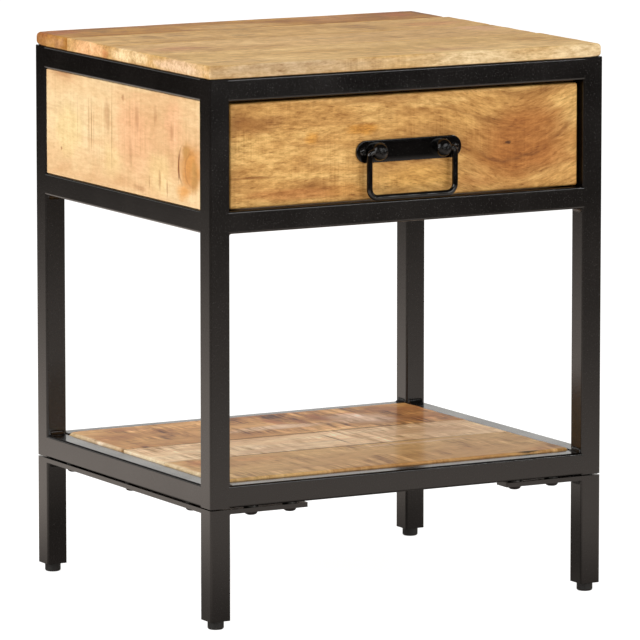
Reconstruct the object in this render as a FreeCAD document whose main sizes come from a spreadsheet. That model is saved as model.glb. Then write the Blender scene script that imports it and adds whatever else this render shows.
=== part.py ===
import FreeCAD, Part
import os
import re

import Sketcher

# Side table with one drawer: a welded frame of square steel tube on a bolted base,
# with a boarded wooden top and shelf, wooden panels and a drawer with a bail pull.
# Millimetres.  +Z is up and the front faces -Y.  The origin lies on the floor under the
# middle of the whole table, the handle included.

SIZES = [
    ("width", 400, "whole table, left to right"),
    ("depth", 340, "frame, front to back"),
    ("height", 500, "floor to table top"),
    ("tube_side", 20, "outside of the square tube"),
    ("tube_wall", 1.5, "wall of the square tube"),
    ("tube_corner", 2, "outer corner radius of the tube"),
    ("top_thickness", 12, "boards of the table top"),
    ("top_easing", 1.6, "rounding of the table top's outer edges"),
    ("seam_front", 108, "front face to the first seam of the top"),
    ("seam_middle", 193, "front face to the second seam of the top"),
    ("seam_rear", 275, "front face to the third seam of the top"),
    ("middle_ring_top", 371.5, "floor to the top of the ring under the drawer"),
    ("shelf_ring_top", 128.5, "floor to the top of the shelf ring"),
    ("shelf_thickness", 12, "boards of the shelf"),
    ("shelf_rise", 2, "shelf above its ring"),
    ("shelf_gap", 0.6, "shelf to the rails round it"),
    ("shelf_easing", 1.2, "rounding of the shelf's outer edges"),
    ("shelf_seam_front", 127, "front face to the front seam of the shelf"),
    ("shelf_seam_rear", 207, "front face to the rear seam of the shelf"),
    ("panel_thickness", 12, "side panels and back panel"),
    ("panel_recess", 1, "panel behind the frame's outer face"),
    ("panel_gap", 0.4, "panel to the frame round it"),
    ("panel_easing", 0.8, "rounding of the panels' edges"),
    ("base_thickness", 4, "flat bars and plates of the base"),
    ("base_gap", 1.2, "shelf ring to the base: the rivet nuts' flanges"),
    ("plate_reach", 98, "outer corner to the inner end of a base plate"),
    ("bolt_near", 45.5, "outer corner to the first bolt of a base plate"),
    ("bolt_far", 84.5, "outer corner to the second bolt of a base plate"),
    ("bar_bolt_pitch", 116, "between the bolts of a side bar"),
    ("bolt_radius", 3, "thread of the base bolts"),
    ("bolt_head_radius", 6, "low round heads of the base bolts"),
    ("bolt_head_height", 3.8, "low round heads of the base bolts"),
    ("bolt_head_dome", 2.5, "rounding of the base bolts' heads"),
    ("bolt_length", 15, "base bolts under the head"),
    ("bolt_clearance", 0.3, "bolt to its hole in the base, on the radius"),
    ("nut_radius", 4.5, "barrel of a rivet nut"),
    ("nut_flange_radius", 6.5, "flange of a rivet nut"),
    ("nut_length", 11, "barrel of a rivet nut"),
    ("nut_clearance", 0.05, "rivet nut to its hole and its bolt, on the radius"),
    ("foot_height", 8, "plastic foot below the leg"),
    ("foot_radius", 7.25, "plastic foot"),
    ("foot_easing", 2, "rounding of the foot's lower rim"),
    ("foot_plug", 12, "square plug of the foot inside the leg"),
    ("foot_plug_clearance", 0.1, "foot plug to the leg, each side"),
    ("drawer_recess", 5.5, "drawer front behind the frame's face"),
    ("drawer_side_gap", 3, "drawer to the posts, each side"),
    ("drawer_top_gap", 3, "drawer front to the top rail"),
    ("drawer_bottom_gap", 1, "drawer to the middle rail"),
    ("drawer_front_thickness", 15, "drawer front"),
    ("drawer_front_easing", 1.8, "rounding of the drawer front's edges"),
    ("drawer_board", 12, "drawer sides and back"),
    ("drawer_side_height", 79.5, "drawer sides"),
    ("drawer_back_height", 87.5, "drawer back, tall enough to meet the stops"),
    ("drawer_back_gap", 7, "drawer back to the back panel"),
    ("drawer_bottom_thickness", 4, "drawer bottom"),
    ("drawer_bottom_rise", 5.5, "drawer bottom above the sides' lower edges"),
    ("drawer_groove", 5, "depth of the grooves that hold the drawer bottom"),
    ("angle_leg", 20, "legs of the angle runners"),
    ("angle_wall", 2, "wall of the angle runners"),
    ("runner_rise", 0.6, "runner above the middle ring"),
    ("stop_depth", 66, "front face to the rear of the stop tabs"),
    ("stop_drop", 13, "stop tabs below the top ring"),
    ("stop_width", 14, "stop tabs, inwards from the frame"),
    ("stop_height", 25, "stop tabs, top to bottom"),
    ("tab_thickness", 2, "steel of all tabs"),
    ("tab_side", 25, "corner tabs of the top and the shelf"),
    ("panel_tab_side", 20, "upright tabs behind the panels"),
    ("panel_tab_inset", 60, "corner of the frame to the middle of a panel tab"),
    ("screw_radius", 2, "wood screws"),
    ("screw_head_radius", 4, "wood screws"),
    ("screw_head_height", 2.5, "wood screws"),
    ("screw_head_dome", 1.5, "rounding of the wood screws' heads"),
    ("screw_length", 12, "wood screws under the head"),
    ("screw_clearance", 0.1, "wood screw to its hole in a tab, on the radius"),
    ("handle_out", 7, "pivot posts in front of the frame's face"),
    ("handle_offset", 2, "handle to the right of the middle"),
    ("handle_level", 415.5, "floor to the middle of the handle plate"),
    ("handle_plate_length", 107, "round-ended plate"),
    ("handle_plate_height", 20, "round-ended plate"),
    ("handle_plate_thickness", 2, "round-ended plate"),
    ("handle_plate_flat", 0.05, "half the flat left at the middle of each round end"),
    ("handle_screw_spread", 47, "middle of the plate to a screw"),
    ("handle_screw_radius", 1.8, "handle screws"),
    ("handle_screw_head", 3.4, "radius of the handle screws' heads"),
    ("handle_screw_rise", 1.8, "height of the handle screws' heads"),
    ("handle_screw_dome", 1.1, "rounding of the handle screws' heads"),
    ("handle_screw_clearance", 0.2, "handle screw to its hole in the plate, on the radius"),
    ("pivot_spread", 32.5, "middle of the plate to a pivot post"),
    ("pivot_radius", 8, "pivot post"),
    ("pivot_dome", 6.5, "rounding of the pivot post's end"),
    ("pivot_standoff", 5.6, "plate to the bail's axis"),
    ("pivot_tail_radius", 2.5, "rivet tail of the pivot post"),
    ("pivot_clearance", 0.08, "bail to its hole, on the radius"),
    ("bail_radius", 2.7, "bail wire"),
    ("bail_spread", 43.5, "middle to the centre of an arm"),
    ("bail_drop", 40.5, "axis to the centre of the bottom bar"),
    ("bail_end", 25.5, "middle to the end of the wire"),
    ("bail_shoulder", 3.5, "bend at the top of an arm"),
    ("bail_corner", 8, "bend at the bottom of an arm"),
]

SIDES = [("left", -1), ("right", 1)]
ENDS = [("front", -1), ("rear", 1)]
START_SIZE = 10          # any size: sketches start here and take their real one from the sheet
TOUCH = 0.01             # two coordinates this close are the same


X_AXIS = FreeCAD.Vector(1, 0, 0)
Y_AXIS = FreeCAD.Vector(0, 1, 0)
Z_AXIS = FreeCAD.Vector(0, 0, 1)

# Places that several pieces share, as expressions over the sheet's names.
FRONT = "(handle_out - depth)/2"
TOP_RING_TOP = "(height - top_thickness)"
TOP_RING_BOTTOM = "(height - top_thickness - tube_side)"
SHELF_RING_BOTTOM = "(shelf_ring_top - tube_side)"
BASE_TOP = "(shelf_ring_top - tube_side - base_gap)"
BASE_BOTTOM = "(shelf_ring_top - tube_side - base_gap - base_thickness)"
DRAWER_HALF = "(width/2 - tube_side - drawer_side_gap)"
DRAWER_BOTTOM = "(middle_ring_top + drawer_bottom_gap)"
BOX_FRONT = "(drawer_recess + drawer_front_thickness)"
BOX_REAR = "(depth - panel_recess - panel_thickness - drawer_back_gap - drawer_board)"
HANDLE_FACE = "(drawer_recess - handle_plate_thickness)"

doc = FreeCAD.newDocument("side_table")
sheet = doc.addObject("Spreadsheet::Sheet", "Sizes")
nodes = []


def fill_sheet():
    for row, (alias, value, note) in enumerate(SIZES, start=1):
        sheet.set(f"A{row}", note)
        sheet.set(f"B{row}", str(value))
        sheet.setAlias(f"B{row}", alias)
    doc.recompute()


def bind(item, prop, expression):
    """Bind a property to an expression over the sheet's names."""
    item.setExpression(prop, re.sub(r"[a-z][a-z_]*", r"Sizes.\g<0>", str(expression)))


def place(item, x, y, z, turn=None):
    """Put an item's local origin at x, y, z; y is measured from the frame's front face."""
    if turn is not None:
        item.Placement = FreeCAD.Placement(FreeCAD.Vector(), turn)
    bind(item, "Placement.Base.x", x)
    bind(item, "Placement.Base.y", f"{FRONT} + {y}")
    bind(item, "Placement.Base.z", z)
    return item


def keep(item, label):
    """Make an item one of the table's pieces."""
    item.Label = label
    nodes.append(item)
    return item


def new_body(name):
    return doc.addObject("PartDesign::Body", name)


def new_sketch(body, role):
    """Start a sketch on one of the body's own origin planes."""
    sketch = body.newObject("Sketcher::SketchObject", body.Name + "_outline")
    planes = [feature for feature in body.Origin.OriginFeatures if feature.Role == role]
    sketch.AttachmentSupport = [(planes[0], "")]
    sketch.MapMode = "FlatFace"
    return sketch


def dimension(sketch, kind, ends, expression):
    """Add a distance or radius constraint that follows an expression."""
    name = f"size_{sketch.ConstraintCount}"
    index = sketch.addConstraint(Sketcher.Constraint(kind, *ends, START_SIZE))
    sketch.renameConstraint(index, name)
    bind(sketch, f"Constraints.{name}", expression)


def rectangle(sketch, across, up):
    """Draw a rectangle about the sketch's origin."""
    first = sketch.GeometryCount
    half = START_SIZE / 2
    corners = [(-half, -half), (half, -half), (half, half), (-half, half)]
    points = [FreeCAD.Vector(x, y, 0) for x, y in corners]
    for side in range(4):
        sketch.addGeometry(Part.LineSegment(points[side], points[(side + 1) % 4]))
    for side in range(4):
        following = first + (side + 1) % 4
        sketch.addConstraint(Sketcher.Constraint("Coincident", first + side, 2, following, 1))
    for side, kind in enumerate(["Horizontal", "Vertical", "Horizontal", "Vertical"]):
        sketch.addConstraint(Sketcher.Constraint(kind, first + side))
    sketch.addConstraint(Sketcher.Constraint("Symmetric", first, 1, first + 1, 2, -1, 1))
    dimension(sketch, "DistanceX", (first, 1, first, 2), across)
    dimension(sketch, "DistanceY", (first + 1, 1, first + 1, 2), up)


def circle(sketch, radius, x=None, y=None):
    """Draw a circle; a coordinate left out lies on the sketch's axis."""
    index = sketch.GeometryCount
    sketch.addGeometry(Part.Circle(FreeCAD.Vector(0, 0, 0), Z_AXIS, START_SIZE))
    dimension(sketch, "Radius", (index,), radius)
    if x is None:
        sketch.addConstraint(Sketcher.Constraint("PointOnObject", index, 3, -2))
    else:
        dimension(sketch, "DistanceX", (-1, 1, index, 3), x)
    if y is None:
        sketch.addConstraint(Sketcher.Constraint("PointOnObject", index, 3, -1))
    else:
        dimension(sketch, "DistanceY", (-1, 1, index, 3), y)


def pad(body, sketch, length, both_ways=True):
    feature = body.newObject("PartDesign::Pad", sketch.Name + "_pad")
    feature.Profile = sketch
    feature.SideType = "Symmetric" if both_ways else "One side"
    bind(feature, "Length", length)
    return feature


def ease(body, radius, wanted):
    """Round the straight edges for which wanted(middle, direction, box) holds."""
    tip = body.Tip
    tip.recompute(True)
    box = tip.Shape.BoundBox
    names = []
    for number, edge in enumerate(tip.Shape.Edges, start=1):
        if edge.Curve.TypeId != "Part::GeomLine":
            continue
        if wanted(edge.CenterOfMass, edge.tangentAt(edge.FirstParameter), box):
            names.append(f"Edge{number}")
    fillet = body.newObject("PartDesign::Fillet", body.Name + "_easing")
    fillet.Base = (tip, names)
    bind(fillet, "Radius", radius)


def round_lowest_rim(body, radius):
    """Round the circular edge at the bottom of a turned piece."""
    tip = body.Tip
    tip.recompute(True)
    lowest = tip.Shape.BoundBox.ZMin
    names = []
    for number, edge in enumerate(tip.Shape.Edges, start=1):
        if edge.Curve.TypeId == "Part::GeomCircle" and edge.BoundBox.ZMax < lowest + TOUCH:
            names.append(f"Edge{number}")
    fillet = body.newObject("PartDesign::Fillet", body.Name + "_rounding")
    fillet.Base = (tip, names)
    bind(fillet, "Radius", radius)


def every_edge(middle, direction, box):
    return True


def slab(name, role, across, up, thickness, holes=()):
    """Pad a centred rectangle with round holes; each hole is (radius, x, y)."""
    body = new_body(name)
    sketch = new_sketch(body, role)
    rectangle(sketch, across, up)
    for radius, x, y in holes:
        circle(sketch, radius, x, y)
    pad(body, sketch, thickness)
    return body


def block(name, across, back, up, holes=()):
    """A box about its own middle, with any holes going down through it."""
    return slab(name, "XY_Plane", across, back, up, holes)


def turned(name, steps):
    """Stack round steps along the local Z axis; each is (radius, bore, start, length)."""
    body = new_body(name)
    for radius, bore, start, length in steps:
        sketch = new_sketch(body, "XY_Plane")
        bind(sketch, "AttachmentOffset.Base.z", start)
        circle(sketch, radius)
        if bore is not None:
            circle(sketch, bore)
        pad(body, sketch, length, both_ways=False)
    return body


def copies(name, master, spots):
    """Set copies of a master piece at spots (x, y, z, turn) and join them in one group."""
    links = []
    for number, (x, y, z, turn) in enumerate(spots, start=1):
        link = doc.addObject("App::Link", f"{name}_{number}")
        link.LinkedObject = master
        links.append(place(link, x, y, z, turn))
    return group(name, links)


def group(name, members):
    compound = doc.addObject("Part::Compound", name)
    compound.Links = members
    return compound


def cut(name, base, tool):
    result = doc.addObject("Part::Cut", name)
    result.Base = base
    result.Tool = tool
    return result


def signed(sign, expression):
    return f"{sign}*({expression})"


def from_end(sign, distance):
    """The y of a point at a distance from the frame's front (-1) or rear (1) face."""
    if sign < 0:
        return f"({distance})"
    return f"(depth - ({distance}))"


# ---- steel frame ------------------------------------------------------------------------

def tube(name, role, length):
    """A square tube about its own middle, along the normal of the given plane."""
    body = new_body(name)
    sketch = new_sketch(body, role)
    rectangle(sketch, "tube_side", "tube_side")
    rectangle(sketch, "tube_side - 2*tube_wall", "tube_side - 2*tube_wall")
    pad(body, sketch, length)
    ease(body, "tube_corner", on_long_corner)
    return body


def on_long_corner(middle, direction, box):
    """True for the outer corner edges along a tube, whichever way it runs."""
    longest = max(box.XLength, box.YLength, box.ZLength)
    half_diagonal = (box.DiagonalLength ** 2 - longest ** 2) ** 0.5 / 2
    sizes = FreeCAD.Vector(box.XLength, box.YLength, box.ZLength)
    run = abs(direction.dot(sizes))
    return abs(run - longest) < TOUCH and abs(middle.Length - half_diagonal) < TOUCH


def make_posts():
    length = f"{TOP_RING_TOP} - {SHELF_RING_BOTTOM}"
    level = f"({TOP_RING_TOP} + {SHELF_RING_BOTTOM})/2"
    for end, back in ENDS:
        for side, right in SIDES:
            post = keep(tube(f"post_{end}_{side}", "XY_Plane", length), f"post_{end}_{side}")
            place(post, signed(right, "width/2 - tube_side/2"), from_end(back, "tube_side/2"), level)


def corner_spots(inset_x, inset_y, level, turn=None):
    """The four corners of the frame, inset from its outer faces."""
    spots = []
    for end, back in ENDS:
        for side, right in SIDES:
            x = signed(right, f"width/2 - ({inset_x})")
            spots.append((x, from_end(back, inset_y), level, turn))
    return spots


def base_bolt_spots(level):
    """Every bolt of the base: three along each side bar and two in each base plate."""
    spots = []
    for side, right in SIDES:
        x = signed(right, "width/2 - tube_side/2")
        for step in (-1, 0, 1):
            spots.append((x, f"depth/2 + {step}*bar_bolt_pitch", level, None))
    for distance in ("bolt_near", "bolt_far"):
        spots.extend(corner_spots(distance, "tube_side/2", level))
    return spots


def make_rails():
    """Three rings of four rails, their ends shaped to the rounded corners of the posts.

    The side rails stop at the front and rear rails where both would fill a post's corner.
    """
    post_space = block("post_space", "tube_side", "tube_side", "2*height")
    ease(post_space, "tube_corner", on_long_corner)
    posts = copies("post_spaces", post_space, corner_spots("tube_side/2", "tube_side/2", "height/2"))
    nut_space = turned("nut_space", [("nut_radius + nut_clearance", None, "-tube_wall", "3*tube_wall")])
    nuts = copies("nut_spaces", nut_space, base_bolt_spots(SHELF_RING_BOTTOM))
    rings = [
        ("top", f"{TOP_RING_TOP} - tube_side/2"),
        ("middle", "middle_ring_top - tube_side/2"),
        ("shelf", "shelf_ring_top - tube_side/2"),
    ]
    for ring, level in rings:
        cutters = [posts]
        if ring == "shelf":
            cutters.append(nuts)
        cross = []
        for end, back in ENDS:
            name = f"{ring}_rail_{end}"
            blank = tube(name + "_blank", "YZ_Plane", "width - 2*tube_side + 2*tube_corner")
            place(blank, 0, from_end(back, "tube_side/2"), level)
            keep(cut(name, blank, group(name + "_cutters", list(cutters))), name)
            space = block(name + "_space", "width - 2*tube_side + 2*tube_corner", "tube_side",
                          "tube_side")
            cross.append(place(space, 0, from_end(back, "tube_side/2"), level))
        for side, right in SIDES:
            name = f"{ring}_rail_{side}"
            blank = tube(name + "_blank", "XZ_Plane", "depth - 2*tube_side + 2*tube_corner")
            place(blank, signed(right, "width/2 - tube_side/2"), "depth/2", level)
            keep(cut(name, blank, group(name + "_cutters", cutters + cross)), name)


# ---- base -------------------------------------------------------------------------------

def make_base_bars():
    bore = "bolt_radius + bolt_clearance"
    holes = [(bore, None, f"{step}*bar_bolt_pitch") for step in (-1, 1)]
    holes.append((bore, None, None))
    for side, right in SIDES:
        bar = block(f"base_bar_{side}", "tube_side", "depth", "base_thickness", holes)
        ease(bar, "tube_corner", lambda middle, direction, box: (
            abs(direction.z) > 1 - TOUCH and middle.x * right > box.XMax - TOUCH))
        keep(bar, f"base_bar_{side}")
        level = f"{BASE_BOTTOM} + base_thickness/2"
        place(bar, signed(right, "width/2 - tube_side/2"), "depth/2", level)


def make_base_plates():
    bore = "bolt_radius + bolt_clearance"
    middle_reach = "(plate_reach + tube_side)/2"
    for end, back in ENDS:
        for side, right in SIDES:
            holes = []
            for distance in ("bolt_near", "bolt_far"):
                holes.append((bore, signed(right, f"{middle_reach} - {distance}"), None))
            name = f"base_plate_{end}_{side}"
            plate = block(name, "plate_reach - tube_side", "tube_side", "base_thickness", holes)
            ease(plate, "tube_corner", lambda middle, direction, box: (
                abs(direction.z) > 1 - TOUCH and middle.x * right < TOUCH - box.XMax))
            keep(plate, name)
            x = signed(right, f"width/2 - {middle_reach}")
            level = f"{BASE_BOTTOM} + base_thickness/2"
            place(plate, x, from_end(back, "tube_side/2"), level)


def make_legs():
    for end, back in ENDS:
        for side, right in SIDES:
            name = f"leg_{end}_{side}"
            leg = keep(tube(name, "XY_Plane", f"{BASE_BOTTOM} - foot_height"), name)
            x = signed(right, "width/2 - tube_side/2")
            level = f"({BASE_BOTTOM} + foot_height)/2"
            place(leg, x, from_end(back, "tube_side/2"), level)


def make_feet():
    """Round glides with a square plug that sits in the end of the leg."""
    plug_side = "tube_side - 2*tube_wall - 2*foot_plug_clearance"
    for end, back in ENDS:
        for side, right in SIDES:
            name = f"foot_{end}_{side}"
            foot = turned(name, [("foot_radius", None, 0, "foot_height")])
            round_lowest_rim(foot, "foot_easing")
            plug = new_sketch(foot, "XY_Plane")
            bind(plug, "AttachmentOffset.Base.z", "foot_height")
            rectangle(plug, plug_side, plug_side)
            pad(foot, plug, "foot_plug", both_ways=False)
            keep(foot, name)
            place(foot, signed(right, "width/2 - tube_side/2"), from_end(back, "tube_side/2"), 0)


def make_base_fasteners():
    """Low round-headed bolts from below, each in a rivet nut in the shelf ring."""
    bolt = turned("base_bolt", [
        ("bolt_head_radius", None, "-bolt_head_height", "bolt_head_height"),
        ("bolt_radius", None, 0, "bolt_length")])
    round_lowest_rim(bolt, "bolt_head_dome")
    keep(copies("base_bolts", bolt, base_bolt_spots(BASE_BOTTOM)), "base_bolts")
    nut = turned("rivet_nut", [
        ("nut_flange_radius", "bolt_radius + nut_clearance", "-base_gap", "base_gap"),
        ("nut_radius", "bolt_radius + nut_clearance", 0, "nut_length")])
    keep(copies("rivet_nuts", nut, base_bolt_spots(SHELF_RING_BOTTOM)), "rivet_nuts")


# ---- wood -------------------------------------------------------------------------------

def board(label, length, seams, front, rear, bottom, thickness, easing):
    """One board between two depths; seams are the sides glued to the next board."""
    item = block(label, length, f"({rear}) - ({front})", thickness)

    def free_edge(middle, direction, box):
        glued_front = "front" in seams and middle.y < box.YMin + TOUCH
        glued_rear = "rear" in seams and middle.y > box.YMax - TOUCH
        return not (glued_front or glued_rear)

    ease(item, easing, free_edge)
    keep(item, label)
    place(item, 0, f"(({rear}) + ({front}))/2", f"{bottom} + ({thickness})/2")


def make_boards(kind, depths, length, bottom):
    """Boards side by side, numbered from the rear, between the given depths."""
    last = len(depths) - 1
    for number in range(last):
        rear, front = depths[number], depths[number + 1]
        seams = set()
        if number > 0:
            seams.add("rear")
        if number < last - 1:
            seams.add("front")
        board(f"{kind}_board_{number + 1}", length, seams, front, rear, bottom,
              f"{kind}_thickness", f"{kind}_easing")


def make_top():
    depths = ["depth", "seam_rear", "seam_middle", "seam_front", "0"]
    make_boards("top", depths, "width", TOP_RING_TOP)


def make_shelf():
    inset = "(tube_side + shelf_gap)"
    depths = [f"depth - {inset}", "shelf_seam_rear", "shelf_seam_front", inset]
    bottom = "(shelf_ring_top + shelf_rise - shelf_thickness)"
    make_boards("shelf", depths, f"width - 2*{inset}", bottom)


def make_panels():
    """Side panels and back panel, let into the frame under the top."""
    rise = f"{TOP_RING_BOTTOM} - middle_ring_top - 2*panel_gap"
    level = f"({TOP_RING_BOTTOM} + middle_ring_top)/2"
    inset = "panel_recess + panel_thickness/2"
    for side, right in SIDES:
        name = f"side_panel_{side}"
        panel = block(name, "panel_thickness", "depth - 2*(tube_side + panel_gap)", rise)
        ease(panel, "panel_easing", every_edge)
        keep(panel, name)
        place(panel, signed(right, f"width/2 - ({inset})"), "depth/2", level)
    back = block("back_panel", "width - 2*(tube_side + panel_gap)", "panel_thickness", rise)
    ease(back, "panel_easing", every_edge)
    keep(back, "back_panel")
    place(back, 0, f"depth - ({inset})", level)


def make_tabs_and_screws():
    """Welded tabs inside the rings, and the wood screws that go through them."""
    hole = "screw_radius + screw_clearance"
    inset = "tube_side + tab_side/2"
    corner_tab = block("corner_tab", "tab_side", "tab_side", "tab_thickness", [(hole, None, None)])
    under_shelf = "(shelf_ring_top + shelf_rise - shelf_thickness)"
    top_spots = corner_spots(inset, inset, f"{TOP_RING_TOP} - tab_thickness/2")
    shelf_spots = corner_spots(inset, inset, f"{under_shelf} - tab_thickness/2")
    keep(copies("top_tabs", corner_tab, top_spots), "top_tabs")
    keep(copies("shelf_tabs", corner_tab, shelf_spots), "shelf_tabs")

    panel_tab = slab("panel_tab", "YZ_Plane", "panel_tab_side", "panel_tab_side", "tab_thickness",
                     [(hole, None, None)])
    level = "middle_ring_top + panel_tab_side/2"
    behind = "(panel_recess + panel_thickness)"
    tab_spots = []
    screw_spots = corner_spots(inset, inset, f"{TOP_RING_TOP} - tab_thickness")
    screw_spots += corner_spots(inset, inset, f"{under_shelf} - tab_thickness")
    for side, right in SIDES:
        inwards = FreeCAD.Rotation(Y_AXIS, 90 * right)
        for end, back in ENDS:
            y = from_end(back, "panel_tab_inset")
            tab_x = signed(right, f"width/2 - {behind} - tab_thickness/2")
            screw_x = signed(right, f"width/2 - {behind} - tab_thickness")
            tab_spots.append((tab_x, y, level, None))
            screw_spots.append((screw_x, y, level, inwards))
        x = signed(right, "width/2 - panel_tab_inset")
        tab_y = f"depth - {behind} - tab_thickness/2"
        tab_spots.append((x, tab_y, level, FreeCAD.Rotation(Z_AXIS, 90)))
        screw_y = f"depth - {behind} - tab_thickness"
        screw_spots.append((x, screw_y, level, FreeCAD.Rotation(X_AXIS, -90)))
    keep(copies("panel_tabs", panel_tab, tab_spots), "panel_tabs")

    screw = turned("wood_screw", [
        ("screw_head_radius", None, "-screw_head_height", "screw_head_height"),
        ("screw_radius", None, 0, "screw_length")])
    round_lowest_rim(screw, "screw_head_dome")
    keep(copies("wood_screws", screw, screw_spots), "wood_screws")


# ---- drawer -----------------------------------------------------------------------------

def make_runners():
    """Angles between the front and rear rails: one leg under the drawer, one beside it."""
    inner = "angle_leg - angle_wall"
    run = "depth - 2*tube_side"
    top = "(middle_ring_top + runner_rise)"
    for side, right in SIDES:
        name = f"runner_{side}"
        bar = block(name + "_bar", "angle_leg", run, "angle_leg")
        hollow = block(name + "_hollow", inner, run, inner)
        bar_x = signed(right, "width/2 - tube_side - angle_leg/2")
        hollow_x = signed(right, f"width/2 - tube_side - angle_wall - ({inner})/2")
        place(bar, bar_x, "depth/2", f"{top} - angle_wall + angle_leg/2")
        place(hollow, hollow_x, "depth/2", f"{top} + ({inner})/2")
        keep(cut(name, bar, hollow), name)


def make_stops():
    tab = block("stop_tab", "stop_width", "tab_thickness", "stop_height")
    level = f"{TOP_RING_BOTTOM} - stop_drop + stop_height/2"
    spots = []
    for side, right in SIDES:
        x = signed(right, "width/2 - tube_side - stop_width/2")
        spots.append((x, "stop_depth - tab_thickness/2", level, None))
    keep(copies("stop_tabs", tab, spots), "stop_tabs")


def make_drawer():
    """Front, sides and back with a bottom let into grooves on all four."""
    box_depth = f"{BOX_REAR} - {BOX_FRONT}"
    box_middle = f"({BOX_REAR} + {BOX_FRONT})/2"
    inside = f"{DRAWER_HALF} - drawer_board"
    bottom = block("drawer_bottom", f"2*({inside} + drawer_groove)",
                   f"{box_depth} + 2*drawer_groove", "drawer_bottom_thickness")
    place(bottom, 0, box_middle,
          f"{DRAWER_BOTTOM} + drawer_bottom_rise + drawer_bottom_thickness/2")
    keep(bottom, "drawer_bottom")

    front_height = f"{TOP_RING_BOTTOM} - drawer_top_gap - {DRAWER_BOTTOM}"
    front = block("drawer_front_blank", f"2*{DRAWER_HALF}", "drawer_front_thickness", front_height)
    ease(front, "drawer_front_easing", lambda middle, direction, box: middle.y < TOUCH - box.YMax)
    place(front, 0, "drawer_recess + drawer_front_thickness/2",
          f"{DRAWER_BOTTOM} + ({front_height})/2")
    keep(cut("drawer_front", front, bottom), "drawer_front")

    for side, right in SIDES:
        name = f"drawer_side_{side}"
        blank = block(name + "_blank", "drawer_board", box_depth, "drawer_side_height")
        place(blank, signed(right, f"{inside} + drawer_board/2"), box_middle,
              f"{DRAWER_BOTTOM} + drawer_side_height/2")
        keep(cut(name, blank, bottom), name)

    back = block("drawer_back_blank", f"2*{DRAWER_HALF}", "drawer_board", "drawer_back_height")
    place(back, 0, f"{BOX_REAR} + drawer_board/2", f"{DRAWER_BOTTOM} + drawer_back_height/2")
    keep(cut("drawer_back", back, bottom), "drawer_back")


# ---- handle -----------------------------------------------------------------------------

def handle_spots(spread):
    """A spot each side of the handle's middle, on the plate's face, pointing backwards."""
    into_drawer = FreeCAD.Rotation(X_AXIS, -90)
    spots = []
    for side, right in SIDES:
        x = f"handle_offset + {right}*{spread}"
        spots.append((x, HANDLE_FACE, "handle_level", into_drawer))
    return spots


def make_handle_plate():
    holes = []
    screw_hole = "handle_screw_radius + handle_screw_clearance"
    for side, right in SIDES:
        holes.append((screw_hole, signed(right, "handle_screw_spread"), None))
        holes.append(("pivot_tail_radius", signed(right, "pivot_spread"), None))
    plate = slab("handle_plate", "XZ_Plane", "handle_plate_length", "handle_plate_height",
                 "handle_plate_thickness", holes)
    ease(plate, "handle_plate_height/2 - handle_plate_flat",
         lambda middle, direction, box: abs(direction.y) > 1 - TOUCH)
    keep(plate, "handle_plate")
    place(plate, "handle_offset", "drawer_recess - handle_plate_thickness/2", "handle_level")


def make_pivot_posts():
    """Domed posts with a cross hole for the bail and a rivet tail through the plate."""
    length = "(handle_out + drawer_recess - handle_plate_thickness)"
    post = turned("pivot_post", [
        ("pivot_radius", None, f"-{length}", length),
        ("pivot_tail_radius", None, 0, "handle_plate_thickness")])
    round_lowest_rim(post, "pivot_dome")
    sketch = new_sketch(post, "YZ_Plane")
    circle(sketch, "bail_radius + pivot_clearance", None, "-pivot_standoff")
    doc.recompute()
    solid_volume = post.Shape.Volume
    bore = post.newObject("PartDesign::Pocket", "pivot_bore")
    bore.Profile = sketch
    bore.SideType = "Symmetric"
    bind(bore, "Length", "4*pivot_radius")
    doc.recompute()
    if post.Shape.Volume > solid_volume - 1:
        raise RuntimeError("the bail's hole cut nothing out of the pivot post")
    keep(copies("pivot_posts", post, handle_spots("pivot_spread")), "pivot_posts")


def make_handle_screws():
    screw = turned("handle_screw", [
        ("handle_screw_head", None, "-handle_screw_rise", "handle_screw_rise"),
        ("handle_screw_radius", None, 0, "screw_length")])
    round_lowest_rim(screw, "handle_screw_dome")
    keep(copies("handle_screws", screw, handle_spots("handle_screw_spread")), "handle_screws")


def rod(name, x, z, length, turn=None):
    """A straight run of the bail from a point beside its axis."""
    piece = doc.addObject("Part::Cylinder", name)
    bind(piece, "Radius", "bail_radius")
    bind(piece, "Height", length)
    return place_on_bail(piece, x, z, turn)


def bend(name, x, z, radius, start_angle):
    """A quarter turn of the bail about a point beside its axis, from a start angle."""
    piece = doc.addObject("Part::Torus", name)
    bind(piece, "Radius1", radius)
    bind(piece, "Radius2", "bail_radius")
    piece.Angle3 = 90
    upright = FreeCAD.Rotation(X_AXIS, 90)
    return place_on_bail(piece, x, z, upright.multiply(FreeCAD.Rotation(Z_AXIS, start_angle)))


def place_on_bail(piece, x, z, turn):
    axis_y = f"{HANDLE_FACE} - pivot_standoff"
    return place(piece, f"handle_offset + {x}", axis_y, f"handle_level + {z}", turn)


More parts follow.
